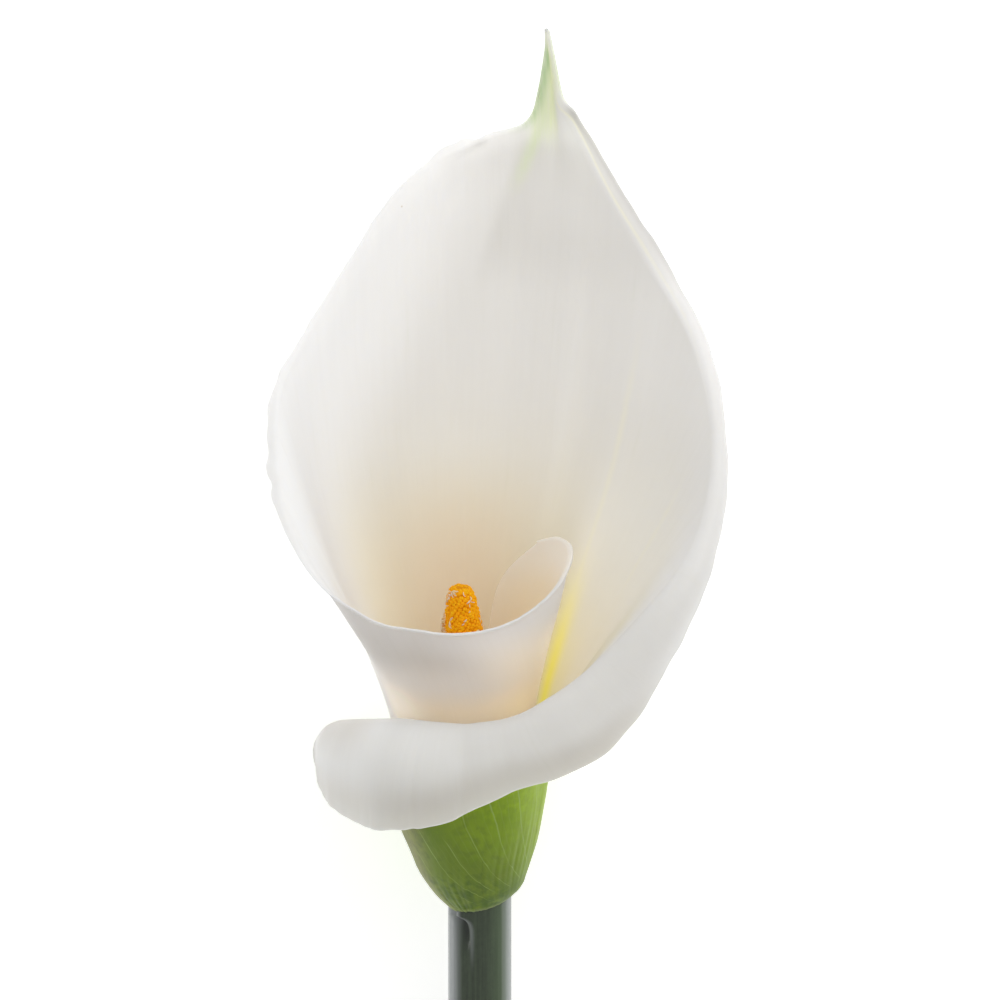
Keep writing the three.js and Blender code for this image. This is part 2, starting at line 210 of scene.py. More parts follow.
# Stage, in metres of the row frame
TABLE_HALF = 3.0
TABLE_DROP = 0.0002
KEY_AT = (0.7, 0.7, 0.7)
TOP_AT = (0, 0.1, 1.2)
LIGHT_AIM = (0, -0.03, 0.03)
LIGHT_SIZE = 0.8


def linear(code):
    """The linear colour of an sRGB hex value."""
    parts = [int(code[i:i + 2], 16) / 255 for i in (1, 3, 5)]
    return [c / 12.92 if c <= 0.04045 else ((c + 0.055) / 1.055) ** 2.4 for c in parts]


def curve(table, at, column=1):
    """A cubic Hermite through one column of a table, with each slope taken from the three points round it."""
    keys, values = table[:, 0].astype(float), table[:, column].astype(float)
    step = np.diff(keys)
    rise = np.diff(values) / step
    slopes = np.empty_like(values)
    slopes[0], slopes[-1] = rise[0], rise[-1]
    slopes[1:-1] = (rise[:-1] * step[1:] + rise[1:] * step[:-1]) / (step[:-1] + step[1:])
    x = np.clip(at, keys[0], keys[-1])
    i = np.clip(np.searchsorted(keys, x) - 1, 0, len(step) - 1)
    u = (x - keys[i]) / step[i]
    start = (2 * u**3 - 3 * u**2 + 1) * values[i] + (u**3 - 2 * u**2 + u) * step[i] * slopes[i]
    end = (3 * u**2 - 2 * u**3) * values[i + 1] + (u**3 - u**2) * step[i] * slopes[i + 1]
    return start + end


def hump(at, centre, width):
    """A bell: exp of minus the square of the distance from the centre in widths."""
    return np.exp(-(((at - centre) / width) ** 2))


def ease(at, low, high):
    """Rises smoothly from 0 at low to 1 at high, or falls where low is the larger."""
    u = np.clip((at - low) / (high - low), 0, 1)
    return u * u * (3 - 2 * u)


def ripple(at, lengths, seed):
    """The mean of sine waves of the given lengths, each with its own phase from the seed."""
    phases = np.random.default_rng(seed).uniform(0, 2 * np.pi, len(lengths))
    return sum(np.sin(2 * np.pi * at / n + p) for n, p in zip(lengths, phases)) / len(lengths)


def unit(vectors):
    """Vectors scaled to length 1."""
    return vectors / np.maximum(np.linalg.norm(vectors, axis=-1, keepdims=True), 1e-9)


def turn_down(vectors):
    """Directions turned about X as the flower lies."""
    c, s = math.cos(LIE_TURN), math.sin(LIE_TURN)
    x, y, z = np.moveaxis(np.asarray(vectors, float), -1, 0)
    return np.stack([x, y * c - z * s, y * s + z * c], -1)


def lay_down(points):
    """From upright millimetres to metres in the row frame: turned about X, then moved."""
    return (turn_down(points) + FLOWER_AT) * MM


# --- meshes ---------------------------------------------------------------------------------------------

def put_in_mesh(name, points, faces, values=None):
    """A smooth mesh of points in metres, lists of faces, and float or vector attributes on the points."""
    mesh = bpy.data.meshes.new(name)
    mesh.from_pydata(points.tolist(), [], [f for part in faces for f in part.tolist()])
    for key, data in (values or {}).items():
        kind = "FLOAT_VECTOR" if data.ndim == 2 else "FLOAT"
        layer = mesh.attributes.new(key, kind, "POINT")
        layer.data.foreach_set("vector" if data.ndim == 2 else "value", data.astype(np.float32).ravel())
    mesh.update()
    mesh.shade_smooth()
    return mesh


def add_piece(name, mesh, material, nodes):
    """Puts a mesh in the scene as a piece of the flower that stands for CAD nodes."""
    missing = [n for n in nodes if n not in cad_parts]
    if missing:
        raise RuntimeError(f"the frame has no node named {missing}")
    mesh.materials.append(material)
    piece = bpy.data.objects.new(name, mesh)
    bpy.context.scene.collection.objects.link(piece)
    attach(piece, "root")
    if nodes:
        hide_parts(*nodes)


def grid_quads(rows, columns, closed=False):
    """Quads of a grid of points counted row by row; closed joins the last column to the first."""
    count = columns if closed else columns - 1
    r, c = np.meshgrid(np.arange(rows - 1), np.arange(count), indexing="ij")
    n = (c + 1) % columns
    at = np.stack([r * columns + c, (r + 1) * columns + c, (r + 1) * columns + n, r * columns + n], -1)
    return at.reshape(-1, 4)


def tube_faces(rows, sides):
    """Faces of a closed tube whose rings run anticlockwise from above, lowest first, with a pole at each end.

    The two poles are the two points after the rings: first the bottom one, then the top one."""
    walls = grid_quads(rows, sides, closed=True)[:, ::-1]
    ring = np.arange(sides)
    after = (ring + 1) % sides
    bottom = np.stack([np.full(sides, rows * sides), after, ring], -1)
    last = (rows - 1) * sides
    top = np.stack([np.full(sides, rows * sides + 1), last + ring, last + after], -1)
    return [walls, bottom, top]


# --- spathe ---------------------------------------------------------------------------------------------

def centre_x(z):
    """The tube's centre line leans a little to the left above the seat, and sways just over it."""
    height = np.clip(z, 0, 70)
    sway = 0.4 * hump(height, 2.5, 2) - 0.25 * hump(height, 9, 3)
    return sway - 1.8 * (1 - np.exp(-((height / 16) ** 2))) - 0.03 * height


def crest_height(turns):
    """Height of the rim plus the tip, a narrow cusp that falls away more steeply on the right."""
    away = turns - TIP_TURN
    spread = np.where(away < 0, TIP_SPREAD_LEFT, TIP_SPREAD_RIGHT)
    return curve(RIM, turns, 2) + TIP_RISE * np.exp(-(np.abs(away) / spread) ** TIP_POWER)


def sheet_turn(turns, share):
    """Turn of a column at a share of its height: the roll is tighter in the tube than at the rim."""
    wrap = INNER_WRAP * ease(turns, -240, INNER_END) * hump(share, 0.89, 0.13)
    inner = turns * (curve(INNER_ROLL, share) + wrap)
    outer = turns + OUTER_MARGIN_DRIFT * (1 - share) * (turns / OUTER_END) ** 2
    return np.where(turns < 0, inner, outer)


def sheet_point(turns, z):
    """Middle of the sheet below the rim, in polar form round the leaning centre line.

    The radius is the tube's, plus the rim's spare radius times a power of the height, plus the roll's
    spiral, minus a fold on both sides of the tip. The foot is raised and tilted onto its seat."""
    share = z / crest_height(turns)
    turn = sheet_turn(turns, share)
    flare, rim_height = curve(RIM, turns, 3), curve(OPEN_RIM, turns, 2)
    rise = z / rim_height
    opening = rise**flare * (1 + np.maximum(FLARE_LIMIT - flare, 0) * (1 - rise))
    spare = curve(RIM, turns, 1) - curve(TUBE, rim_height)
    spiral = ROLL_PITCH * (turn / 360) * (1 - share**4)
    sides = 1 - hump(turns, TIP_TURN, 2)
    fold = TIP_FOLD * sides * hump(turns, TIP_TURN, 9) * np.clip((z - TIP_FOLD_START) / 20, 0, 1) ** 1.5
    radius = curve(TUBE, z) + spare * opening + spiral - fold
    lean = TIP_LEAN * np.maximum(z - TIP_LEAN_START, 0) ** 2
    x = radius * np.sin(np.radians(turn))
    y = radius * np.cos(np.radians(turn))
    seat = np.maximum(1 - z / SEAT_FADE, 0) ** 3
    return np.stack([centre_x(z) + x - lean, y, z + seat * (SEAT_HEIGHT + SEAT_SLOPE * x)], -1)


def column_turns():
    """Rim turns of the columns: the inverse of a running sum of the density wanted at each turn."""
    turns = np.linspace(INNER_END, OUTER_END, 20001)
    density = (0.62 + 0.6 * ease(turns, 95, 125) + 5 * hump(turns, TIP_TURN, 2.2)
               + 0.8 * hump(turns, TIP_TURN, 9)
               + 1.2 * hump(turns, -89, 5) + 0.8 * hump(turns, 0, 6) + 0.7 * hump(turns, 196, 3)
               + 9 * np.exp(-(turns - INNER_END) / 0.4) + 9 * np.exp(-(OUTER_END - turns) / 0.4))
    total = np.concatenate([[0], np.cumsum((density[1:] + density[:-1]) / 2)])
    return np.interp(np.linspace(0, total[-1], COLUMNS), total, turns)


def row_heights(turns):
    """Heights of the rows below the lip: low ones that all columns share, then ones up to the crest.

    The low ones lie closer at the foot and the others closer at the rim. The last ones climb the tip by a
    high power of their share."""
    low = LOW_TOP * (np.arange(LOW_ROWS) / LOW_ROWS)[:, None] ** 1.4 * np.ones_like(turns)
    share = 1 - (1 - np.arange(HIGH_ROWS)[:, None] / (HIGH_ROWS - 1)) ** ROW_CROWDING
    rim = curve(RIM, turns, 2)
    high = LOW_TOP + (rim - LOW_TOP) * share + (crest_height(turns) - rim) * share**TIP_ROW_POWER
    return np.concatenate([low, high])


def lip_width(turns):
    """Width of the lip from the rim table, with the small bumps and nicks that the margin has."""
    on_limb = ease(turns, -104, -92) * ease(turns, 60, 30)
    wave = 0.1 * ripple(turns, [23, 13.1], 3) + 0.1 * on_limb * ripple(turns, [7.7, 5.1], 4)
    bumps = sum(height * hump(turns, turn, spread) for height, turn, spread in LIP_BUMPS)
    away = 1 - hump(turns, TIP_TURN, 3)
    width = curve(RIM, turns, 4)
    return np.maximum(width + (wave * np.minimum(width, 1.5) + bumps) * away, 0.2)


def lip_points(turns, crest):
    """The lip leaves the crest square to it and curls outwards most at its root.

    Its heading turns by the curl times 1 - (1 - share)^2, and the points are the running sum of the
    headings, read at rows that lie closer together towards the free edge."""
    height = crest_height(turns)
    up = crest - sheet_point(turns, height - 1)
    around = sheet_point(turns + 1, height) - sheet_point(turns - 1, height)
    normal = unit(np.cross(up, around))
    onward = unit(np.cross(np.gradient(crest, axis=0), normal))
    share = (np.arange(LIP_STEPS) + 0.5)[:, None] / LIP_STEPS
    heading = np.radians(curve(RIM, turns, 5)) * (1 - (1 - share) ** 2)
    move = np.cos(heading)[..., None] * onward + np.sin(heading)[..., None] * normal
    run = np.cumsum(move * (lip_width(turns) / LIP_STEPS)[:, None], axis=0)
    run = np.concatenate([np.zeros_like(run[:1]), run])
    at = (1 - (1 - np.arange(1, LIP_ROWS + 1) / LIP_ROWS) ** 1.6) * LIP_STEPS
    below = np.minimum(at.astype(int), LIP_STEPS - 1)
    part = (at - below)[:, None, None]
    return crest + run[below] * (1 - part) + run[below + 1] * part, at / LIP_STEPS


def edge_distance(points):
    """Distance of every point of a grid from the sheet's free edges, in mm, row by row.

    The edges are the two side margins and the last row, drawn with points four times as close."""
    line = np.concatenate([points[:, 0], points[-1], points[::-1, -1]])
    place = np.arange(len(line))
    fine = np.linspace(0, len(line) - 1, len(line) * 4)
    dense = np.stack([np.interp(fine, place, line[:, i]) for i in range(3)], -1)
    return np.stack([np.sqrt(((row[:, None] - dense) ** 2).sum(-1).min(1)) for row in points])


def spathe_sheet():
    """The middle of the whole sheet as a grid, with its turns, heights, shares of lip and edge distances."""
    turns = column_turns()
    heights = row_heights(turns)
    body = sheet_point(np.broadcast_to(turns, heights.shape), heights)
    lip, share = lip_points(turns, body[-1])
    points = np.concatenate([body, lip])
    reach = share[:, None] * lip_width(turns)
    lip_part = np.concatenate([np.zeros_like(heights), np.broadcast_to(share[:, None], reach.shape)])
    return {
        "points": points,
        "turns": np.broadcast_to(turns, points.shape[:2]),
        "heights": np.concatenate([heights, heights[-1] + reach]),
        "below": np.concatenate([heights - heights[-1], reach]),
        "lip": lip_part,
        "edge": edge_distance(points),
    }


def grid_normals(points):
    """Normals of a grid, up the columns times along the rows; they point out of the roll."""
    return unit(np.cross(np.gradient(points, axis=0), np.gradient(points, axis=1)))


def fold_over(turns):
    """Where along the rim the margin of the left shoulder is folded over, from 0 to 1."""
    return ease(turns, -6, 3) * ease(turns, 7.5, 6)


def crease_place(turns):
    """How far past the rim the crease of the lip runs, in mm: on the lip beside the tip, on the rim below."""
    return -0.15 + 1.3 * ease(turns, 27, 31) * ease(turns, 84, 55)


def relief(sheet, ruffle):
    """How far each point of the sheet is moved outwards, in mm.

    Slow waves over the open limb, a ruffle that fades in from the free edge, a flap turned back on the
    left shoulder, and a crease along the foot of the lip on the right."""
    turns, heights, edge, below = (sheet[k] for k in ("turns", "heights", "edge", "below"))
    limb = ease(heights, 60, 95)
    slow = (0.16 * ripple(turns + 0.25 * heights, [61, 37], 11)
            + 0.1 * ripple(heights - 0.4 * turns, [47, 29], 12))
    on_limb = 0.15 + 0.85 * ease(turns, -110, -90)
    waves = ruffle * on_limb * ripple(turns + 0.2 * edge, [19, 11, 6.3], 13) * np.exp(-edge / 4)
    flap = 0.5 * hump(turns, -8, 3) * np.exp(-edge / 2.2) - 0.5 * fold_over(turns) * ease(below, -1.4, -0.9)
    crease = 0.12 * hump(below, crease_place(turns), 0.45) * ease(turns, 26.5, 31) * ease(turns, 98, 70)
    away = 1 - hump(turns, TIP_TURN, 5) * ease(heights, 145, 152)
    return (limb * slow + waves + flap) * away + crease


def lip_crease(turns, below):
    """How strongly the crease along the foot of the lip shows: a thin line that fades out on the right."""
    return 0.36 * hump(below, crease_place(turns), 0.28) * ease(turns, 26.2, 27.5) * ease(turns, 78, 42)


def inner_masks(sheet):
    """Where tints, painted shade and painted light lie on the inner face, from 0 to 1; the shade counts up to
    its darkest value.
    """
    turns, heights, edge, below, lip = (sheet[k] for k in ("turns", "heights", "edge", "below", "lip"))
    on_body = ease(below, 0.5, -0.5)
    # The pointed tip: the spike itself, its margin, two streaks that run into it and a patch near its end
    on_spike = ease(heights, 146, 156) * ease(turns, 28.5, 26.8) * ease(turns, 17, 21)
    margin = hump(edge, 0.5, 1.1) * ease(turns, 26.3, 25.3) * ease(heights, 149, 154) * ease(heights, 174, 166)
    streak = hump(turns, 21.3 - 0.55 * (150 - heights), 1.7) * ease(heights, 136, 145) * ease(heights, 158, 151)
    second = hump(turns, 24.6, 0.9) * ease(heights, 146, 152)
    upper_patch = hump(turns, 25, 1.5) * hump(heights, 166.5, 1.8)
    # Beside the roll: a slit that glows, and the single layer round it
    gap = (0.85 * hump(turns, 57 - 0.15 * (heights - 44), 4.7 + 0.05 * np.maximum(heights - 44, 0))
           + 0.2 * hump(turns, 66, 9) * ease(heights, 62, 46))
    beside_roll = ease(turns, 38, 58) * ease(turns, 112, 92) * ease(heights, 96, 62)
    # Three fine lines up the limb
    lines = (hump(turns, 54.5, 0.4) * ease(heights, 58, 66) * ease(heights, 118, 92)
             + 0.8 * hump(turns, 82, 0.45) * ease(heights, 62, 70) * ease(heights, 92, 80)
             + 0.5 * hump(turns, 38, 0.4) * ease(heights, 70, 78) * ease(heights, 110, 95))
    # Painted shade over what lies past a step down the limb, less on the right and beside the roll
    step = 3 - 0.75 * np.clip(137 - heights, 0, 56)
    past_step = ease(turns, step - 22, step + 16) * ease(turns, -240, -200)
    on_right = 1 - (0.1 + 0.22 * ease(heights, 112, 130)) * ease(turns, 28, 60)
    body_shade = (past_step * on_right * (1 - 0.72 * beside_roll)
              + 0.27 * ease(turns, -80, -30) * ease(turns, 26, 8)
              + 0.26 * ease(turns, 8, 26) * ease(turns, 112, 95) * ease(heights, 138, 120))
    # Painted shade to the right of a line that slants down from the tip
    keel_shade = (ease(turns - 0.45 * (heights - 145.7), 13.6, 17.6)
            * ease(heights, 116, 130) * ease(heights, 151, 147))
    # Painted shadow along the fold of the flap on the left shoulder
    fold_shadow = fold_over(turns) * (hump(below, -0.95, 0.3)
                                    + 0.45 * hump(turns, 5, 2) * ease(below, -1.1, -0.6))
    # Painted shade just inside the left margin
    left_margin_shade = 0.4 * hump(edge, 0.8, 1.2) * ease(turns, -112, -100) * ease(turns, -50, -70)
    # Painted shade on the lip, darker along its free edge and where it turns under
    beside = ease(turns, 48, 62) * ease(turns, 122, 106)
    shadow = (0.72 * ease(lip, 0.6, 0.9) * ease(turns, 116, 140) * (1 - 0.5 * hump(turns, 211, 12))
              - 0.45 * hump(lip, 0.5, 0.2) * hump(turns, 200, 18)
              + 0.9 * ease(turns, 215, 234) * ease(lip, 0.7, 0.3)
              + beside * (0.65 * ease(lip, 0.1, 0.9) - 0.4))
    lip_shade = (0.95 * ease(turns, 55, 85) * ease(turns, 232, 205)
              + (0.75 + 1.35 * ease(lip, 0.1, 0.7)) * ease(turns, 27, 30) * ease(turns, 75, 48))
    return {
        "foot": 0.55 * ease(heights, 30, 5),
        "throat": (ease(heights, 114, 50) ** 1.5 * ease(below, 0, -16) * (1 - 0.45 * beside_roll)
                   * (1 - 0.6 * ease(turns, -40, -70) * ease(turns, -130, -100))),
        # Warm cream deep in the bowl and the inner roll: the throat's own tone, made darker as painted shade;
        # on the lip it follows the painted shadow
        "deep": (hump(turns, 0, 38) * ease(heights, 89, 57)
                 + 0.7 * ease(turns, -235, -255) * ease(heights, 76, 60)
                 + 0.22 * np.clip(shadow, 0, 1) * (1 - on_body) * ease(turns, 116, 140)),
        "dim": np.maximum((body_shade + 0.35 * keel_shade) * on_body + 1.3 * fold_shadow + left_margin_shade
                          + (0.5 + lip_shade + shadow) * (1 - on_body) * ease(turns, 20, 30), 0),
        "gap": gap * ease(heights, 71, 44) * ease(heights, 30, 38),
        "sheer": beside_roll * ease(heights, 84, 50),
        "glow": (0.47 * gap * ease(heights, 84, 44) + 0.26 * beside_roll * ease(heights, 88, 54)
                 + 0.5 * ease(turns, -240, -262) * ease(heights, 40, 52)),
        "tip_pale": np.clip(on_spike + 0.6 * streak + 0.35 * second, 0, 1),
        "tip": np.clip(0.9 * margin + 0.5 * upper_patch + 0.28 * streak, 0, 1),
        "crease": np.clip(lip_crease(turns, below) + 0.2 * lines, 0, 1),
    }


def outer_masks(sheet):
    """Where tints, painted shade and painted light lie on the outer face, from 0 to 1; the shade counts up to
    its darkest value.
    """
    turns, heights, below = (sheet[k] for k in ("turns", "heights", "below"))
    in_tube = ease(turns, -95, -110) * ease(heights, 38, 46)
    low = ease(heights, 53, 46)
    left_side = in_tube * hump(turns, -116, 12) * ease(heights, 57, 49)
    right_side = in_tube * hump(turns, -238, 12) * ease(heights, 66, 56)
    return {
        "foot": ease(heights, 46 + 6 * hump(turns, 190, 70), 22),
        "throat": 0.35 * ease(heights, 70, 40),
        # Warm cream on the tube: partly the tissue's own tone, partly painted light that comes through warm
        "deep": in_tube * (0.35 * ease(heights, 66, 52) + 0.4 * low) * ease(turns, -110, -150),
        # Painted shade over the tube, most on its upper left side
        "dim": in_tube * (0.3 * ease(heights, 45, 52) + 1.25 * ease(turns, -210, -145) * ease(heights, 51, 59)),
        "gap": np.zeros_like(heights),
        "sheer": left_side + 0.6 * right_side,
        "glow": (0.55 * in_tube * ease(turns, -165, -215) * ease(heights, 67, 56)
                 + 0.5 * in_tube * low * ease(turns, -238, -200)
                 + 0.35 * left_side + 0.25 * right_side),
        "tip_pale": ease(heights, 140, 154) * hump(turns, TIP_TURN, 9),
        "tip": 0.8 * ease(heights, 146, 160) * hump(turns, TIP_TURN - 2, 5),
        "crease": 0.5 * lip_crease(turns, below),
    }


def spathe_mesh(settings):
    """The spathe as one closed sheet: its middle moved out and in along the normals, and a wall round it.

    The half thickness falls towards the free edges and ends in a quarter of an ellipse. The attribute flow
    holds turn, height and twist: the veins of the foot follow lines of equal twist, which slant with the
    height and swing to one side by a falling exponential of it."""
    sheet = spathe_sheet()
    points = sheet["points"]
    normals = grid_normals(points)
    points = points + normals * relief(sheet, settings.ruffle / MM)[..., None]
    normals = grid_normals(points)
    full, thin = settings.thickness / MM / 2, settings.edge_thickness / MM / 2
    spike = ease(sheet["heights"], 150, 158) * hump(sheet["turns"], TIP_TURN, 5)
    half = thin + (full - thin) * ease(sheet["edge"], 0.5, 6) + 0.35 * spike
    edge = np.minimum(sheet["edge"] / (1.3 * thin), 1)
    foot = np.minimum((sheet["heights"] + 0.08) / 0.5, 1)
    half = np.maximum(half * np.sqrt(1 - (1 - edge) ** 2) * np.sqrt(1 - (1 - foot) ** 2), THINNEST_HALF)
    outer = lay_down(points + normals * half[..., None])
    inner = lay_down(points - normals * half[..., None])
    outer[..., 2] = np.maximum(outer[..., 2], 0)
    inner[..., 2] = np.maximum(inner[..., 2], SHEET * MM)
    rows, columns = points.shape[:2]
    count = rows * columns
    at = np.arange(count).reshape(rows, columns)
    around = np.concatenate([at[0, :-1], at[:-1, -1], at[-1, :0:-1], at[:0:-1, 0]])
    onward = np.roll(around, -1)
    faces = [
        grid_quads(rows, columns),
        grid_quads(rows, columns)[:, ::-1] + count,
        np.stack([around, onward, onward + count, around + count], -1),
    ]
    masks = [outer_masks(sheet), inner_masks(sheet)]
    values = {key: np.concatenate([m[key].ravel() for m in masks]) for key in masks[0]}
    share = sheet["heights"] / crest_height(sheet["turns"])
    turn = sheet_turn(sheet["turns"], np.minimum(share, 1))
    twist = turn - VEIN_SLANT * sheet["heights"] + VEIN_SWING * np.exp(-sheet["heights"] / VEIN_SWING_HEIGHT)
    flow = np.stack([sheet["turns"], sheet["heights"], twist / VEIN_SPACING], -1)
    values["flow"] = np.tile(flow.reshape(-1, 3), (2, 1))
    both = np.concatenate([outer.reshape(-1, 3), inner.reshape(-1, 3)])
    return put_in_mesh("spathe_sheet", both, faces, values)


# --- spadix ---------------------------------------------------------------------------------------------

def spadix_radius(z):
    """Radius of the pollen-bearing finger at a height."""
    return curve(SPADIX_PROFILE, SPADIX_TOP - z)


def finger_mesh_parts(low, high, radius_at, sides=32, rows=40):
    """A closed finger of level rings round the leaning axis, closer together at its top."""
    z = low + (high - low) * (1 - (1 - np.linspace(0, 1, rows)) ** 2)
    angle = np.linspace(0, 2 * np.pi, sides, endpoint=False)
    radius = radius_at(z)[:, None]
    x = SPADIX_LEAN * z[:, None] + radius * np.cos(angle)
    y = radius * np.sin(angle)
    rings = np.stack([x, y, np.broadcast_to(z[:, None], x.shape)], -1).reshape(-1, 3)
    poles = np.array([[SPADIX_LEAN * low, 0, low], [SPADIX_LEAN * high, 0, high]])
    return np.concatenate([rings, poles]), tube_faces(rows, sides)


def floret_places(low, high, radius_at, pitch):
    """Places and outward directions of florets that share a finger's surface equally.

    Each has the same area of surface below the next, and is turned from it by the golden angle."""
    z = np.linspace(low, high, 4001)
    radius = radius_at(z)
    rise, grow = np.diff(z), np.diff(radius)
    area = np.concatenate([[0], np.cumsum(np.pi * (radius[1:] + radius[:-1]) * np.hypot(rise, grow))])
    count = int(area[-1] / (pitch**2 * math.sqrt(3) / 2))
    height = np.interp((np.arange(count) + 0.5) / count * area[-1], area, z)
    angle = np.arange(count) * GOLDEN_TURN
    slope = np.interp(height, (z[1:] + z[:-1]) / 2, grow / rise)
    round_axis = np.stack([np.cos(angle), np.sin(angle), np.zeros(count)], -1)
    radius = np.interp(height, z, radius)
    places = round_axis * radius[:, None]
    places[:, 0] += SPADIX_LEAN * height
    places[:, 2] = height
    outward = unit(round_axis - slope[:, None] * np.array([0, 0, 1]))
    return places, outward


def bead_shape(groove, sides=8):
    """One closed bead about its centre, with a groove across its crown, and each point's nearness to it."""
    angle = np.linspace(0, 2 * np.pi, sides, endpoint=False)
    down = np.radians([28, 62, 98, 138])[:, None]
    x = np.sin(down) * np.cos(angle)
    y = np.sin(down) * np.sin(angle)
    z = np.cos(down) * np.ones_like(angle)
    points = np.stack([x, y, z], -1)[::-1].reshape(-1, 3)
    points = np.concatenate([points, [[0, 0, -1], [0, 0, 1]]])
    cut = groove * hump(points[:, 0], 0, 0.35) * ease(points[:, 2], -0.1, 0.8)
    points[:, 2] -= cut
    crown = ease(points[:, 2] + cut, -0.2, 1) * (1 - cut / max(groove, 1e-6) * 0.7)
    return points, crown, tube_faces(len(down), sides)


def bead_field(places, outward, width, height, groove, rng):
    """Beads set on places, each turned, sized and leant a little at random about its outward direction."""
    shape, crown, faces = bead_shape(groove)
    count, size = len(places), len(shape)
    lean = unit(outward + rng.normal(0, 0.12, (count, 3)))
    side = unit(np.cross(lean, [0.13, 0.21, 0.97]))
    other = np.cross(lean, side)
    spin = rng.uniform(0, 2 * np.pi, count)[:, None]
    first = np.cos(spin) * side + np.sin(spin) * other
    second = np.cross(lean, first)
    scale = rng.uniform(0.78, 1.14, (count, 1, 1))
    places = places + rng.normal(0, 0.07 * width, (count, 3))
    local = shape * np.array([width / 2, width / 2, height])
    points = places[:, None] + scale * (local[:, :1] * first[:, None] + local[:, 1:2] * second[:, None]
                                        + local[:, 2:] * lean[:, None])
    shift = (np.arange(count) * size)[:, None, None]
    joined = [(part + shift).reshape(-1, part.shape[1]) for part in faces]
    tone = np.repeat(rng.uniform(0, 1, count), size)
    return points.reshape(-1, 3), joined, np.tile(crown, count), tone


def join_parts(parts):
    """Points, faces and attributes of several closed forms as those of one mesh."""
    points, faces, crown, tone, start = [], [], [], [], 0
    for part_points, part_faces, part_crown, part_tone in parts:
        points.append(part_points)
        faces += [f + start for f in part_faces]
        crown.append(part_crown)
        tone.append(part_tone)
        start += len(part_points)
    return np.concatenate(points), faces, {"crown": np.concatenate(crown), "tone": np.concatenate(tone)}


def floret_mesh(settings):
    """The upper spadix: a finger under some hundreds of small two-lobed florets."""
    low = ZONE_BORDER + TOUCH_GAP
    width, pitch = settings.floret_width / MM, settings.floret_pitch / MM
    core, core_faces = finger_mesh_parts(low, SPADIX_TOP - FINGER_INSET,
                                         lambda z: np.maximum(spadix_radius(z) - FINGER_INSET, 0.05))
    flat = np.zeros(len(core))
    places, outward = floret_places(low + 0.5, SPADIX_TOP - 0.03, spadix_radius, pitch)
    rng = np.random.default_rng(FLORET_SEED)
    beads = bead_field(places - FLORET_SINK * outward, outward, width, FLORET_HEIGHT * width, FLORET_CLEFT, rng)
    points, faces, values = join_parts([(core, core_faces, flat, flat + 0.3), beads])
    return put_in_mesh("floret_finger", lay_down(points), faces, values)


def ovary_mesh(settings):
    """The foot of the spadix: larger round ovaries, each with a small pale stigma."""
    low, high = NECK_TOP + TOUCH_GAP, ZONE_BORDER
    radius = lambda z: np.full_like(z, OVARY_RADIUS - OVARY_INSET)
    core, core_faces = finger_mesh_parts(low, high, radius)
    flat = np.zeros(len(core))
    width = settings.ovary_width / MM
    height = OVARY_HEIGHT * width
    places, outward = floret_places(low + 1, high - 1, radius, width * OVARY_PITCH)
    rng = np.random.default_rng(OVARY_SEED)
    beads = bead_field(places, outward, width, height, 0.0, rng)
    stigmas = bead_field(places + height * outward, outward, STIGMA_WIDTH * width, STIGMA_HEIGHT * width,
                         0.0, rng)
    parts = [(core, core_faces, flat, flat), beads, (*stigmas[:2], stigmas[2] * 0 + 2, stigmas[3])]
    points, faces, values = join_parts(parts)
    return put_in_mesh("ovary_foot", lay_down(points), faces, values)


def pollen_mesh(settings):
    """Threads of pollen that cling to the florets: thin tubes along bent lines on the finger's surface.

    Each line starts at a random place in a cluster and turns steadily as it goes. Those that the clusters
    leave over lie anywhere on the finger."""
    rng = np.random.default_rng(settings.seed)
    count, steps, sides = settings.pollen_count, len(POLLEN_THICKNESS), POLLEN_SIDES
    share = np.append(POLLEN_SPOTS[:, 3], 1 - POLLEN_SPOTS[:, 3].sum())
    pick = rng.choice(len(share), count, p=share)
    spots = np.concatenate([POLLEN_SPOTS, [POLLEN_REST]])[pick]
    turn = spots[:, 0] + spots[:, 2] * rng.normal(0, 1, count)
    height = spots[:, 1] + spots[:, 2] * 0.13 * rng.normal(0, 1, count)
    length = rng.uniform(0.5, 1.9, count)[:, None]
    heading = (rng.uniform(0, 2 * np.pi, count)[:, None]
               + rng.uniform(-2.2, 2.2, count)[:, None] * np.linspace(0, 1, steps))
    run = np.cumsum(np.cos(heading) * length / steps, 1)
    climb = np.cumsum(np.sin(heading) * length / steps, 1)
    z = height[:, None] + climb
    z = np.where(z > SPADIX_TOP - 1, 2 * (SPADIX_TOP - 1) - z, z)
    radius = spadix_radius(z)
    angle = np.radians(90 - turn)[:, None] + run / radius
    loose = 1 + 1.6 * hump(spots[:, :1], 275, 25)
    lift = -0.2 + 0.3 * loose * rng.uniform(0, 1, (count, 1)) * np.sin(np.linspace(0, np.pi, steps))
    out = np.stack([np.cos(angle), np.sin(angle), np.zeros_like(angle)], -1)
    line = out * (radius + lift)[..., None]
    line[..., 0] += SPADIX_LEAN * z
    line[..., 2] += z
    along = unit(np.gradient(line, axis=1))
    side = unit(np.cross(along, out))
    other = np.cross(side, along)
    thick = rng.uniform(0.08, 0.17, (count, 1)) * POLLEN_THICKNESS
    round_line = np.linspace(0, 2 * np.pi, sides, endpoint=False)
    ring = np.cos(round_line)[:, None] * side[:, :, None] + np.sin(round_line)[:, None] * other[:, :, None]
    tubes = line[:, :, None] + ring * thick[..., None, None]
    points = np.concatenate([tubes.reshape(count, -1, 3), line[:, :1], line[:, -1:]], 1)
    size = steps * sides + 2
    shift = (np.arange(count) * size)[:, None, None]
    faces = [(part + shift).reshape(-1, part.shape[1]) for part in tube_faces(steps, sides)]
    tone = np.repeat(rng.uniform(0, 1, count), size)
    return put_in_mesh("pollen_threads", lay_down(points.reshape(-1, 3)), faces, {"tone": tone})


# --- stem -----------------------------------------------------------------------------------------------

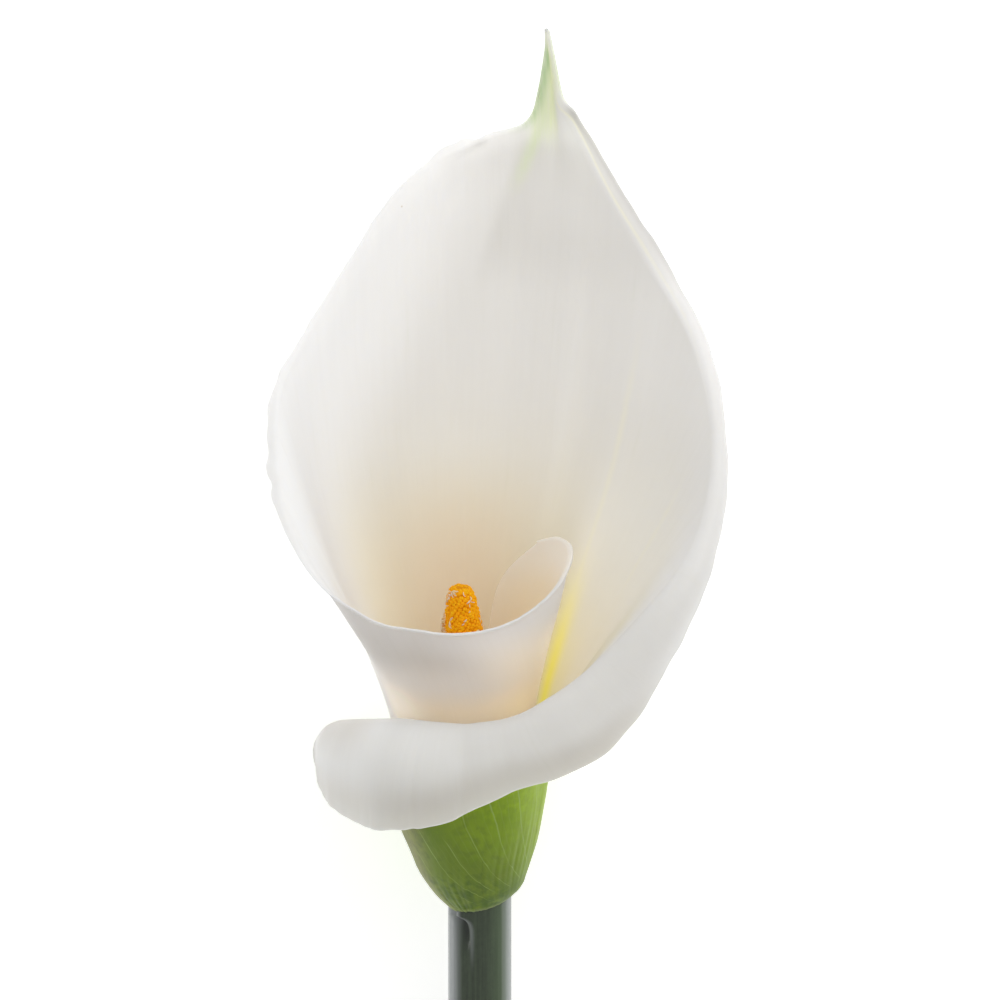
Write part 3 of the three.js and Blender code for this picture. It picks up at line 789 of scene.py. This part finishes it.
def flute(turn, z):
    """Depth of the groove at the stem's top front, with a crest along its right side.

    A bell across the turn with a steep right wall; the wall swings in from the left just under the seat, and
    the groove runs out downwards."""
    wall = 199 + 30 * np.exp(np.minimum(z + 0.4, 0) / 0.9)
    away = turn - wall
    groove = ease(away, -2, 8) * np.exp(-np.maximum(away - 8, 0) ** 2 / 150)
    crest = hump(away, -4, 3.5)
    return groove * ease(z, -11, -4), crest * ease(z, -14, -5)


def stem_rings():
    """Rings of the stem from its cut end up to its neck: heights, radii and shares of the seat's tilt.

    The top is a shallow dish that holds the foot of the spathe. The table's last column is the number of
    steps from each ring to the next."""
    seat = SEAT_HEIGHT - SHEET / 2 - TOUCH_GAP
    table = np.array([
        [-STEM_LENGTH, STEM_RADIUS - 0.35, 0, 1], [-STEM_LENGTH + 0.15, STEM_RADIUS - 0.1, 0, 1],
        [-STEM_LENGTH + 0.5, STEM_RADIUS, 0, 110], [-9, STEM_RADIUS, 0, 8], [-6.5, STEM_RADIUS, 0.1, 8],
        [-4.5, STEM_RADIUS, 0.6, 8], [-2.4, STEM_RADIUS, 1, 16], [seat + 0.6, STEM_RADIUS, 1, 2],
        [seat + 1, STEM_RADIUS - 0.12, 1, 2], [seat + 1.15, STEM_RADIUS - 0.4, 1, 2], [seat + 0.6, 4.9, 1, 2],
        [seat + 0.05, 4.2, 1, 2], [seat + 0.05, NECK_RADIUS + 0.3, 0.5, 2], [seat + 0.4, NECK_RADIUS, 0, 1],
        [NECK_TOP, NECK_RADIUS, 0, 1],
    ])
    steps = table[:-1, 3].astype(int)
    at = np.concatenate([i + np.arange(n) / n for i, n in enumerate(steps)] + [[len(steps)]])
    return [np.interp(at, np.arange(len(table)), table[:, i]) for i in range(3)]


def stem_mesh(settings, sides=120, cut_rings=9):
    """The stem: a closed tube of rings, ribbed lengthwise, with a slanting cut of its own below.

    Its attribute flow holds how far each point lies to the right and to the back, and its height."""
    z, radius, seat = stem_rings()
    angle = np.linspace(0, 2 * np.pi, sides, endpoint=False)
    turn = (90 - np.degrees(angle)) % 360
    groove, crest = flute(turn[None], z[:, None])
    waves = [2 * np.pi / n for n in (19, 31, 43)]
    ribs = settings.rib_depth / MM * ripple(angle + 0.0006 * z[:, None], waves, 31)
    body = (radius > NECK_RADIUS + 0.5)[:, None]
    r = radius[:, None] * (1 + STEM_OVAL * np.cos(2 * angle) * body)
    r = r + body * (ribs - settings.flute_depth / MM * groove + STEM_CREST * crest)
    x, y = r * np.cos(angle), r * np.sin(angle)
    lean = np.where(body, 0, SPADIX_LEAN * np.maximum(z, 0)[:, None])
    slant = ease(z, -STEM_LENGTH + 8, -STEM_LENGTH)[:, None]
    height = z[:, None] + seat[:, None] * SEAT_SLOPE * x - slant * STEM_CUT_SLOPE * y
    tube = np.stack([x + lean + STEM_SHIFT, y, height], -1)
    share = np.linspace(0, 1, cut_rings, endpoint=False)[1:, None, None]
    first = tube[0]
    centre = first.mean(0)
    disc = centre + (first - centre) * share
    rough = 0.12 * ripple(disc[..., 0] * 1.7 + disc[..., 1], [2.1, 1.3], 33) * (1 - share[..., 0] ** 4)
    disc[..., 2] += rough + 0.25 * (1 - share[..., 0] ** 2)
    rings = np.concatenate([disc, tube])
    poles = np.array([[centre[0], centre[1], disc[0, :, 2].mean()], tube[-1].mean(0)])
    points = np.concatenate([rings.reshape(-1, 3), poles])
    none = np.zeros(disc.shape[:2])
    around = 2 * np.pi * np.broadcast_to(np.arange(sides) / sides, rings.shape[:2])
    right, back = (np.append(part.ravel(), [0, 0]) for part in (np.cos(around), np.sin(around)))
    laid = lay_down(points)
    laid[:, 2] = np.maximum(laid[:, 2], 0)
    values = {
        "cut": np.append(np.concatenate([none + 1, np.zeros(tube.shape[:2])]).ravel(), [1, 0]),
        "groove": np.append(np.concatenate([none, groove]).ravel(), [0, 0]),
        "crest": np.append(np.concatenate([none, crest]).ravel(), [0, 0]),
        "flow": np.stack([right, back, points[:, 2] / FLOW_LENGTH], -1),
    }
    return put_in_mesh("stem_skin", laid, tube_faces(len(rings), sides), values)


# --- materials ------------------------------------------------------------------------------------------

def add_node(tree, kind, inputs=(), out=None, **settings):
    """Adds one shader node and returns an output of it: the one that is named, or the first in use.

    The settings are its properties. The inputs are values, or outputs to link: a list fills the sockets in
    use in their order, as vector, scale, detail and roughness of a noise, and a dictionary names them."""
    node = tree.nodes.new("ShaderNode" + kind)
    for key, value in settings.items():
        setattr(node, key, value)
    sockets = {s.identifier: s for s in node.inputs if s.enabled}
    pairs = inputs if isinstance(inputs, dict) else dict(zip(sockets, inputs))
    for key, value in pairs.items():
        if isinstance(value, bpy.types.NodeSocket):
            tree.links.new(value, sockets[key])
        elif sockets[key].type == "RGBA":
            sockets[key].default_value = [*value, 1.0]
        else:
            sockets[key].default_value = value
    if out:
        return node.outputs[out]
    return next((s for s in node.outputs if s.enabled), None)


def new_material(name):
    """An empty node material, and add_node for its tree."""
    material = bpy.data.materials.new(name)
    material.use_nodes = True
    material.node_tree.nodes.clear()
    return material, partial(add_node, material.node_tree)


def spathe_tissue(settings):
    """Living spathe tissue: a thin, waxy, milk-white leaf, with painted shade and painted light over its
    colours. It looks satin and lets some light through.
    """
    material, add = new_material("spathe_tissue")
    mask = {key: add("Attribute", out="Fac", attribute_name=key)
            for key in ("foot", "throat", "deep", "dim", "gap", "sheer", "glow", "tip", "tip_pale", "crease")}
    flow = add("Attribute", out="Vector", attribute_name="flow")
    turn, height, vein_count = add("SeparateXYZ", [flow]).node.outputs
    place = add("TexCoord", out="Object")

    # Lengthwise grain: a streak every 2 degrees of turn, some 25 mm long
    stretched = add("Mapping", {"Vector": flow, "Scale": (0.5, 0.04, 0.0)})
    grain = add("TexNoise", [stretched, 1.0, 3.0, 0.6])
    # Slow cloudiness of the tissue, 20 mm across
    cloud = add("TexNoise", [place, 50.0, 3.0])
    # Cells, 0.3 mm across: coarser than real ones so that they show
    cells = add("TexNoise", [place, 3300.0, 2.0])

    # The white limb; painted shade darkens it, down to 0.43 of its colour where the shade is deepest
    streaks = add("MapRange", [grain, 0.35, 0.75, 0.0, 0.25])
    white = add("Mix", [streaks, settings.white, settings.shade], data_type="RGBA")
    for key in ("throat", "deep"):
        white = add("Mix", [mask[key], white, getattr(settings, key)], data_type="RGBA")
    keep = add("MapRange", [mask["dim"], 0.0, PAINTED_SHADE_MOST, 1.0, 0.43])
    white = add("VectorMath", [white, keep], operation="SCALE")
    # The crease colour, and painted light in the slit beside the roll where light comes through
    for key in ("crease", "gap"):
        white = add("Mix", [mask[key], white, getattr(settings, key)], data_type="RGBA")

    # The green foot is olive in patches, 2 mm across
    mottle = add("TexNoise", [place, 520.0, 3.0])
    patchy = add("Math", [mottle, 0.8, cloud], operation="MULTIPLY_ADD")
    patch = add("MapRange", [patchy, 0.78, 1.02])
    # Young yellow green up the foot, sooner towards its right side, where it also stands for painted light
    climb = add("Math", [turn, -0.2, height], operation="MULTIPLY_ADD")
    climb = add("Math", [mottle, 30.0, climb], operation="MULTIPLY_ADD")
    young_and_lit = add("MapRange", [climb, -7.0, 19.0, 0.0, 0.9])
    # An old-rose blush beside the outer margin
    blush = add("MapRange", [turn, 203.0, 224.0, 0.0, 0.45])
    # Pale veins, with finer ones between them; both waver and break off here and there
    wobble = add("TexNoise", [place, 120.0, 2.0])
    phase = add("Math", [wobble, 0.35, vein_count], operation="MULTIPLY_ADD")
    saw = add("Math", [phase, 0.5], operation="PINGPONG")
    line = add("MapRange", [saw, 0.0, 0.036, 0.85, 0.0])
    quick = add("Math", [phase, 3.7], operation="MULTIPLY")
    fine_saw = add("Math", [quick, 0.5], operation="PINGPONG")
    fine = add("MapRange", [fine_saw, 0.0, 0.12, 0.13, 0.0])
    veins = add("Math", [line, fine], operation="MAXIMUM")
    breaks = add("MapRange", [wobble, 0.35, 0.6])
    veins = add("Math", [veins, breaks], operation="MULTIPLY")
    # Thin pale rim where the foot sits on the stem: it fades out 1.7 mm up
    rim = add("MapRange", [height, 0.5, 1.7, 0.75, 0.0])
    green = settings.foot
    for share, over in ((patch, settings.foot_olive), (young_and_lit, settings.foot_young_and_lit),
                        (blush, settings.foot_blush), (veins, settings.vein), (rim, settings.foot_rim)):
        green = add("Mix", [share, green, over], data_type="RGBA")
    # The green runs up into the white along the grain
    soft = add("Math", [grain, 0.5, -0.25], operation="MULTIPLY_ADD")
    ragged = add("Math", [mask["foot"], soft], operation="ADD")
    foot = add("MapRange", [ragged, 0.05, 0.8], interpolation_type="SMOOTHSTEP")

    # Green streaks at the tip
    streaky = add("Mapping", {"Vector": flow, "Scale": (1.6, 0.12, 0.0)})
    threads = add("TexNoise", [streaky, 1.0, 3.0])
    strength = add("MapRange", [threads, 0.3, 0.62, 0.65, 1.0])
    pale = add("Math", [mask["tip_pale"], strength], operation="MULTIPLY")
    tip = add("Math", [mask["tip"], strength], operation="MULTIPLY")

    # A few bruised specks, 9 mm apart at most places, and only one in five shows
    away = add("TexVoronoi", [place, 110.0], out="Distance")
    near = add("MapRange", [away, 0.015, 0.035, 0.6, 0.0])
    chance = add("SeparateColor", [away.node.outputs["Color"]])
    shown = add("Math", [chance, 0.2], operation="LESS_THAN")
    speck = add("Math", [near, shown], operation="MULTIPLY")

    colour = white
    for share, over in ((foot, green), (pale, settings.tip_pale), (tip, settings.tip), (speck, settings.speck)):
        colour = add("Mix", [share, colour, over], data_type="RGBA")

    # Light that comes through the thin layers beside and in the roll, more than the shader alone lets through
    tint = settings.glow
    for key in ("sheer", "gap"):
        tint = add("Mix", [mask[key], tint, getattr(settings, key)], data_type="RGBA")
    through = add("Math", [mask["glow"], 0.28], operation="MULTIPLY")

    # Bump: ribs of the grain, and the cells
    ribs = add("Bump", {"Height": grain, "Strength": 0.15, "Distance": 0.0003})
    skin = add("Bump", {"Height": cells, "Strength": 0.12, "Distance": 0.00005, "Normal": ribs})
    rough = add("MapRange", [cloud, 0.3, 0.7, 0.42, 0.54])
    shader = add("BsdfPrincipled", {
        "Base Color": colour, "Roughness": rough, "IOR": 1.42, "Normal": skin,
        "Emission Color": tint, "Emission Strength": through,
        "Subsurface Weight": 1.0, "Subsurface Radius": (1.0, 0.96, 0.86), "Subsurface Scale": 0.003,
    })
    add("OutputMaterial", [shader])
    material.cycles.emission_sampling = "NONE"
    return material


def pollen_florets(settings):
    """Pollen-bearing florets: dry, matt, golden orange, with painted shade between them and painted highlights
    on their crowns.

    Pollen this bright seems to glow in the shade of the tube, so it has a faint light of its own."""
    material, add = new_material("pollen_florets")
    crown = add("Attribute", out="Fac", attribute_name="crown")
    tone = add("Attribute", out="Fac", attribute_name="tone")
    place = add("TexCoord", out="Object")
    # Pollen grit, 0.15 mm
    grit = add("TexNoise", [place, 6500.0, 2.0])
    lift = add("Math", [grit, 0.5, -0.25], operation="MULTIPLY_ADD")
    level = add("Math", [crown, lift], operation="ADD")
    # Painted highlights on the crowns, and painted shade between the florets
    bright = add("MapRange", [level, 0.75, 1.15, 0.0, 0.6])
    body = add("Mix", [tone, settings.floret, settings.floret_deep], data_type="RGBA")
    colour = add("Mix", [level, settings.floret_shade, body], data_type="RGBA")
    colour = add("Mix", [bright, colour, settings.crown_highlight_and_grain_tint], data_type="RGBA")
    bump = add("Bump", {"Height": grit, "Strength": 0.5, "Distance": 0.0001})
    shader = add("BsdfPrincipled", {
        "Base Color": colour, "Roughness": 0.7, "IOR": 1.45, "Normal": bump,
        "Specular IOR Level": 0.2, "Emission Color": colour, "Emission Strength": 0.2,
        "Subsurface Weight": 0.2, "Subsurface Radius": (1.0, 0.5, 0.15), "Subsurface Scale": 0.0004,
    })
    add("OutputMaterial", [shader])
    material.cycles.emission_sampling = "NONE"
    return material


def ovary_skin(settings):
    """Ovaries: smooth, moist, pale green, with cream stigmas. They look a little shiny."""
    material, add = new_material("ovary_skin")
    crown = add("Attribute", out="Fac", attribute_name="crown")
    tone = add("Attribute", out="Fac", attribute_name="tone")
    body = add("Mix", [tone, settings.ovary, settings.ovary_deep], data_type="RGBA")
    stigma = add("MapRange", [crown, 1.1, 1.4])
    colour = add("Mix", [stigma, body, settings.pollen], data_type="RGBA")
    # Pores, 0.3 mm
    pores = add("TexNoise", [add("TexCoord", out="Object"), 3000.0, 2.0])
    bump = add("Bump", {"Height": pores, "Strength": 0.2, "Distance": 0.00005})
    shader = add("BsdfPrincipled", {
        "Base Color": colour, "Roughness": 0.35, "IOR": 1.45, "Normal": bump,
        "Subsurface Weight": 0.3, "Subsurface Radius": (0.7, 1.0, 0.3), "Subsurface Scale": 0.0006,
    })
    add("OutputMaterial", [shader])
    return material


def pollen_dust(settings):
    """Pollen pressed out in threads: soft, matt and off-white with a warm pink cast."""
    material, add = new_material("pollen_dust")
    tone = add("Attribute", out="Fac", attribute_name="tone")
    # Grains, 0.08 mm, drawn about twice as coarse as real ones
    grain = add("TexNoise", [add("TexCoord", out="Object"), 12000.0, 1.0])
    mixed = add("Math", [grain, tone], operation="MULTIPLY")
    colour = add("Mix", [mixed, settings.pollen, settings.crown_highlight_and_grain_tint], data_type="RGBA")
    bump = add("Bump", {"Height": grain, "Strength": 0.4, "Distance": 0.00005})
    shader = add("BsdfPrincipled", {"Base Color": colour, "Roughness": 0.85, "IOR": 1.45, "Normal": bump})
    add("OutputMaterial", [shader])
    return material


def stem_skin(settings):
    """Fleshy stem: dark green skin under thin grey wax, streaked lengthwise, with painted sheen on its flanks;
    the cut is pale and wet.
    """
    material, add = new_material("stem_skin")
    flow = add("Attribute", out="Vector", attribute_name="flow")
    cut, groove, crest = (add("Attribute", out="Fac", attribute_name=key) for key in ("cut", "groove", "crest"))
    place = add("TexCoord", out="Object")
    to_right, to_back = add("SeparateXYZ", [flow]).node.outputs[:2]
    # Lengthwise streaks, 0.7 mm wide
    long_way = add("Mapping", {"Vector": flow, "Scale": (9.0, 9.0, 0.5)})
    streaks = add("TexNoise", [long_way, 1.0, 4.0])
    # Mottling, 1 mm
    mottle = add("TexNoise", [place, 1000.0, 3.0])
    both = add("Math", [mottle, 0.4, streaks], operation="MULTIPLY_ADD")
    level = add("MapRange", [both, 0.45, 0.95])
    # The right side has less wax and shows greener
    right = add("MapRange", [to_right, 0.25, 0.85, 0.0, 0.8])
    # Grey wax on the crest, and painted sheen on the upper half of the two flanks from some 40 degrees round
    # from the front
    turned = add("Math", [to_right, 0.05], operation="SUBTRACT")
    side = add("Math", [turned], operation="ABSOLUTE")
    flank_sheen = add("MapRange", [side, 0.6, 1.0, 0.0, 0.75], interpolation_type="SMOOTHSTEP")
    above = add("MapRange", [to_back, -0.05, 0.4, 1.0, 0.0])
    flank_sheen = add("Math", [flank_sheen, above], operation="MULTIPLY")
    waxy = add("Math", [crest, 0.35, flank_sheen], operation="MULTIPLY_ADD")
    # Cut face: vessels 0.6 mm apart
    vessels = add("TexVoronoi", [place, 1600.0], out="Distance")
    dots = add("MapRange", [vessels, 0.1, 0.4])
    flesh = add("Mix", [dots, settings.skin_light, settings.flesh], data_type="RGBA")
    # Over the skin: lighter streaks, painted shade in the groove, the greener right side, wax and painted
    # sheen, and the cut face
    colour = settings.skin
    for share, over in ((level, settings.skin_light), (groove, settings.groove), (right, settings.skin_green),
                        (waxy, settings.bloom), (cut, flesh)):
        colour = add("Mix", [share, colour, over], data_type="RGBA")
    ribs = add("Bump", {"Height": streaks, "Strength": 0.35, "Distance": 0.0002})
    pores = add("Bump", {"Height": mottle, "Strength": 0.2, "Distance": 0.0001, "Normal": ribs})
    rough = add("MapRange", [mottle, 0.3, 0.7, 0.38, 0.52])
    shader = add("BsdfPrincipled", {
        "Base Color": colour, "Roughness": rough, "IOR": 1.45, "Normal": pores,
        "Specular IOR Level": 0.3, "Sheen Weight": 0.25, "Sheen Roughness": 0.3,
        "Coat Weight": 0.6, "Coat Roughness": 0.15, "Coat IOR": 1.5,
    })
    add("OutputMaterial", [shader])
    return material


def lit_table(settings):
    """A pale table lit softly from below, so that shadows on it stay faint."""
    material, add = new_material("lit_table")
    # Cloudiness, 125 mm across and 1.5 percent deep
    cloud = add("TexNoise", [add("TexCoord", out="Object"), 8.0, 2.0])
    tint = [0.985 * c for c in settings.floor]
    colour = add("Mix", [cloud, settings.floor, tint], data_type="RGBA")
    shader = add("BsdfPrincipled", {
        "Base Color": colour, "Roughness": 0.9, "Emission Color": colour,
        "Emission Strength": settings.floor_glow,
    })
    add("OutputMaterial", [shader])
    material.cycles.emission_sampling = "NONE"
    return material


# --- stage ----------------------------------------------------------------------------------------------

def softbox(name, place, watts):
    """A square area light at a place, turned to the flower."""
    data = bpy.data.lights.new(name, "AREA")
    data.shape, data.size, data.energy = "SQUARE", LIGHT_SIZE, watts
    light = bpy.data.objects.new(name, data)
    light.location = place
    light.rotation_mode = "QUATERNION"
    light.rotation_quaternion = (Vector(LIGHT_AIM) - Vector(place)).to_track_quat("-Z", "Y")
    bpy.context.scene.collection.objects.link(light)


def add_camera(lens):
    """The camera at the photograph's angle: beside the upright flower and a little above, laid down with it."""
    back = np.array([0, -math.cos(LOOK_DOWN), math.sin(LOOK_DOWN)])
    up = np.array([0, math.sin(LOOK_DOWN), math.cos(LOOK_DOWN)])
    axes = turn_down(np.array([[1, 0, 0], up, back]))
    matrix = Matrix(axes.T.tolist()).to_4x4()
    matrix.translation = Vector(lay_down(LOOK_AT + LOOK_FROM * back).tolist())
    data = bpy.data.cameras.new("camera")
    data.sensor_width, data.lens = SENSOR, lens
    data.clip_start, data.clip_end = 0.1, 20
    camera = bpy.data.objects.new("camera", data)
    camera.matrix_world = matrix
    bpy.context.scene.collection.objects.link(camera)
    bpy.context.scene.camera = camera


# --- settings -------------------------------------------------------------------------------------------

def length(name, description, value, low, high):
    """A length property in metres, from millimetres."""
    return FloatProperty(name=name, description=description, default=value * MM, min=low * MM, max=high * MM,
                         unit="LENGTH", subtype="DISTANCE", precision=5)


def colour(name, description, code):
    """A colour property from an sRGB hex value."""
    return FloatVectorProperty(name=name, description=description, default=linear(code), min=0, max=1,
                               size=3, subtype="COLOR")


class SpatheSettings(PropertyGroup):
    thickness: length("Thickness", "Thickness of the sheet away from its edges", 0.9, 0.4, 2)
    edge_thickness: length("Edge thickness", "Thickness of the sheet just inside its free edge", 0.56, 0.2, 1.5)
    ruffle: length("Ruffle", "Height of the small waves along the free edge", 0.22, 0, 1)
    white: colour("White", "Colour of the open limb", "#f7f6f5")
    shade: colour("Shade", "Colour of the darker streaks in the white", "#f1efed")
    throat: colour("Throat", "Cream of the lower limb", "#f7f0dd")
    # Partly the throat's own cream, partly painted shade
    deep: colour("Deep throat", "Warm cream round the spadix", "#eedecb")
    glow: colour("Glow", "Colour of light that comes through the roll", "#f3d390")
    crease: colour("Crease", "Colour of the crease along the lip", "#f1ecc8")
    gap: colour("Gap", "Colour where light comes through beside the roll", "#ede079")
    sheer: colour("Sheer", "Colour of light that comes through a single layer", "#ffeabe")
    foot: colour("Foot", "Green of the foot of the spathe", "#72891e")
    foot_blush: colour("Blush", "Old rose on the foot beside the margin", "#a79c72")
    foot_olive: colour("Olive", "Olive patches of the foot", "#526c14")
    # Also painted light on the right side of the foot
    foot_young_and_lit: colour("Young green", "Yellow green higher up the foot", "#9dbb18")
    foot_rim: colour("Foot rim", "Pale rim of the foot above the stem", "#a3b07a")
    vein: colour("Vein", "Pale veins of the foot", "#a0b860")
    tip: colour("Tip", "Grey green along the margin of the pointed tip", "#b5c8a6")
    tip_pale: colour("Pale tip", "Pale green round the tip", "#e2e7cd")
    speck: colour("Speck", "Bruised specks", "#a98a5a")


class SpadixSettings(PropertyGroup):
    floret_width: length("Floret width", "Width of one pollen-bearing floret", 1.06, 0.5, 3)
    floret_pitch: length("Floret pitch", "Distance between two florets", 0.92, 0.7, 3)
    ovary_width: length("Ovary width", "Width of one ovary", 2.0, 1, 4)
    pollen_count: IntProperty(name="Pollen threads", description="How many threads of pollen cling to it",
                              default=120, min=20, max=600)
    seed: IntProperty(name="Seed", description="Start of the random places of the pollen", default=5, min=0)
    floret: colour("Floret", "Golden orange of the florets", "#ffc60e")
    floret_deep: colour("Deep floret", "Colour of the darker florets", "#ffb000")
    # Painted shade between the florets
    floret_shade: colour("Between florets", "Colour between the florets", "#d48500")
    # Painted highlight on the crowns, and the yellow that the pollen threads turn to
    crown_highlight_and_grain_tint: colour("Crowns", "Colour on the crowns of the florets", "#ffdf63")
    ovary: colour("Ovary", "Pale green of the ovaries", "#b9c77a")
    ovary_deep: colour("Deep ovary", "Colour of the darker ovaries", "#9fb35c")
    pollen: colour("Pollen", "Off-white of the pollen threads", "#f6e4d4")


class StemSettings(PropertyGroup):
    rib_depth: length("Rib depth", "Height of the fine lengthwise ribs", 0.05, 0, 0.5)
    flute_depth: length("Groove depth", "Depth of the groove under the bloom", 0.95, 0, 2)
    skin: colour("Skin", "Dark green of the skin", "#2b3626")
    skin_light: colour("Light skin", "Colour of the lighter streaks", "#3e4b37")
    skin_green: colour("Green side", "Fresher green of the right side", "#566a4a")
    # Painted shade in the groove
    groove: colour("Groove", "Colour in the groove", "#1f281f")
    # Grey of the wax on the crest, and of the painted sheen on the flanks
    bloom: colour("Wax bloom", "Grey wax on the crest by the groove", "#a9adb0")
    flesh: colour("Flesh", "Colour of the cut face", "#c9d3a4")


class StageSettings(PropertyGroup):
    floor: colour("Floor", "Colour of the table", "#fafafa")
    floor_glow: FloatProperty(name="Floor glow", description="How strongly the table is lit from below",
                              default=0.5, min=0, max=5)
    surround: FloatProperty(name="Surround", description="Strength of the white room light",
                            default=0.61, min=0, max=5)
    key: FloatProperty(name="Key", description="Power of the large soft light at the upper right",
                       default=3.1, min=0, max=500, unit="POWER")
    top: FloatProperty(name="Top", description="Power of the soft light overhead",
                       default=0.4, min=0, max=500, unit="POWER")
    lens: FloatProperty(name="Lens", description="Focal length of the camera", default=540, min=10, max=2000,
                        unit="CAMERA", subtype="DISTANCE_CAMERA")


# --- operators ------------------------------------------------------------------------------------------

class LILY_OT_spathe(Operator):
    """Builds the rolled white spathe with its green foot and pointed tip"""
    bl_idname = "lily.spathe"
    bl_label = "Spathe"

    def execute(self, context):
        settings = context.scene.lily_spathe
        add_piece("spathe_leaf", spathe_mesh(settings), spathe_tissue(settings), ["spathe"])
        return {"FINISHED"}


class LILY_OT_spadix(Operator):
    """Builds the spadix: florets, ovaries and threads of pollen"""
    bl_idname = "lily.spadix"
    bl_label = "Spadix"

    def execute(self, context):
        settings = context.scene.lily_spadix
        add_piece("spadix_florets", floret_mesh(settings), pollen_florets(settings),
                  ["spadix_male_zone"])
        add_piece("spadix_ovaries", ovary_mesh(settings), ovary_skin(settings),
                  ["spadix_female_zone"])
        add_piece("pollen_threads", pollen_mesh(settings), pollen_dust(settings), [])
        return {"FINISHED"}


class LILY_OT_stem(Operator):
    """Builds the cut stem with its groove and slanting end"""
    bl_idname = "lily.stem"
    bl_label = "Stem"

    def execute(self, context):
        settings = context.scene.lily_stem
        add_piece("flower_stem", stem_mesh(settings), stem_skin(settings), ["stem"])
        return {"FINISHED"}


class LILY_OT_stage(Operator):
    """Adds the pale table, the soft lights and the camera"""
    bl_idname = "lily.stage"
    bl_label = "Stage"

    def execute(self, context):
        settings = context.scene.lily_stage
        corners = np.array([[x * TABLE_HALF, y * TABLE_HALF, -TABLE_DROP]
                            for x, y in ((-1, -1), (1, -1), (1, 1), (-1, 1))])
        mesh = put_in_mesh("table_top", corners, [np.array([[0, 1, 2, 3]])])
        mesh.materials.append(lit_table(settings))
        table = bpy.data.objects.new("table_top", mesh)
        context.scene.collection.objects.link(table)
        softbox("key_light", KEY_AT, settings.key)
        softbox("top_light", TOP_AT, settings.top)
        world = bpy.data.worlds.new("white_room")
        world.use_nodes = True
        background = world.node_tree.nodes["Background"]
        background.inputs["Color"].default_value = (1, 1, 1, 1)
        background.inputs["Strength"].default_value = settings.surround
        context.scene.world = world
        context.scene.view_settings.view_transform = "Standard"
        add_camera(settings.lens)
        return {"FINISHED"}


class LILY_PT_panel(Panel):
    """Lists the flower's settings and the operators that build it"""
    bl_idname = "LILY_PT_panel"
    bl_label = "Calla lily"
    bl_space_type = "VIEW_3D"
    bl_region_type = "UI"
    bl_category = "Calla lily"

    def draw(self, context):
        for name in SETTINGS:
            box = self.layout.box()
            settings = getattr(context.scene, name)
            for key in settings.__annotations__:
                box.prop(settings, key)
            box.operator(name.replace("_", "."))


SETTINGS = {"lily_spathe": SpatheSettings, "lily_spadix": SpadixSettings, "lily_stem": StemSettings,
            "lily_stage": StageSettings}
CLASSES = (*SETTINGS.values(), LILY_OT_spathe, LILY_OT_spadix, LILY_OT_stem, LILY_OT_stage, LILY_PT_panel)


def register():
    """Registers the classes and gives the scene its settings."""
    for cls in CLASSES:
        bpy.utils.register_class(cls)
    for name, group in SETTINGS.items():
        setattr(bpy.types.Scene, name, PointerProperty(type=group))


def unregister():
    """Takes the settings off the scene and the classes out again."""
    for name in SETTINGS:
        delattr(bpy.types.Scene, name)
    for cls in reversed(CLASSES):
        bpy.utils.unregister_class(cls)


def main():
    register()
    for make in (bpy.ops.lily.stem, bpy.ops.lily.spathe, bpy.ops.lily.spadix, bpy.ops.lily.stage):
        make()


if __name__ == "__main__":
    main()
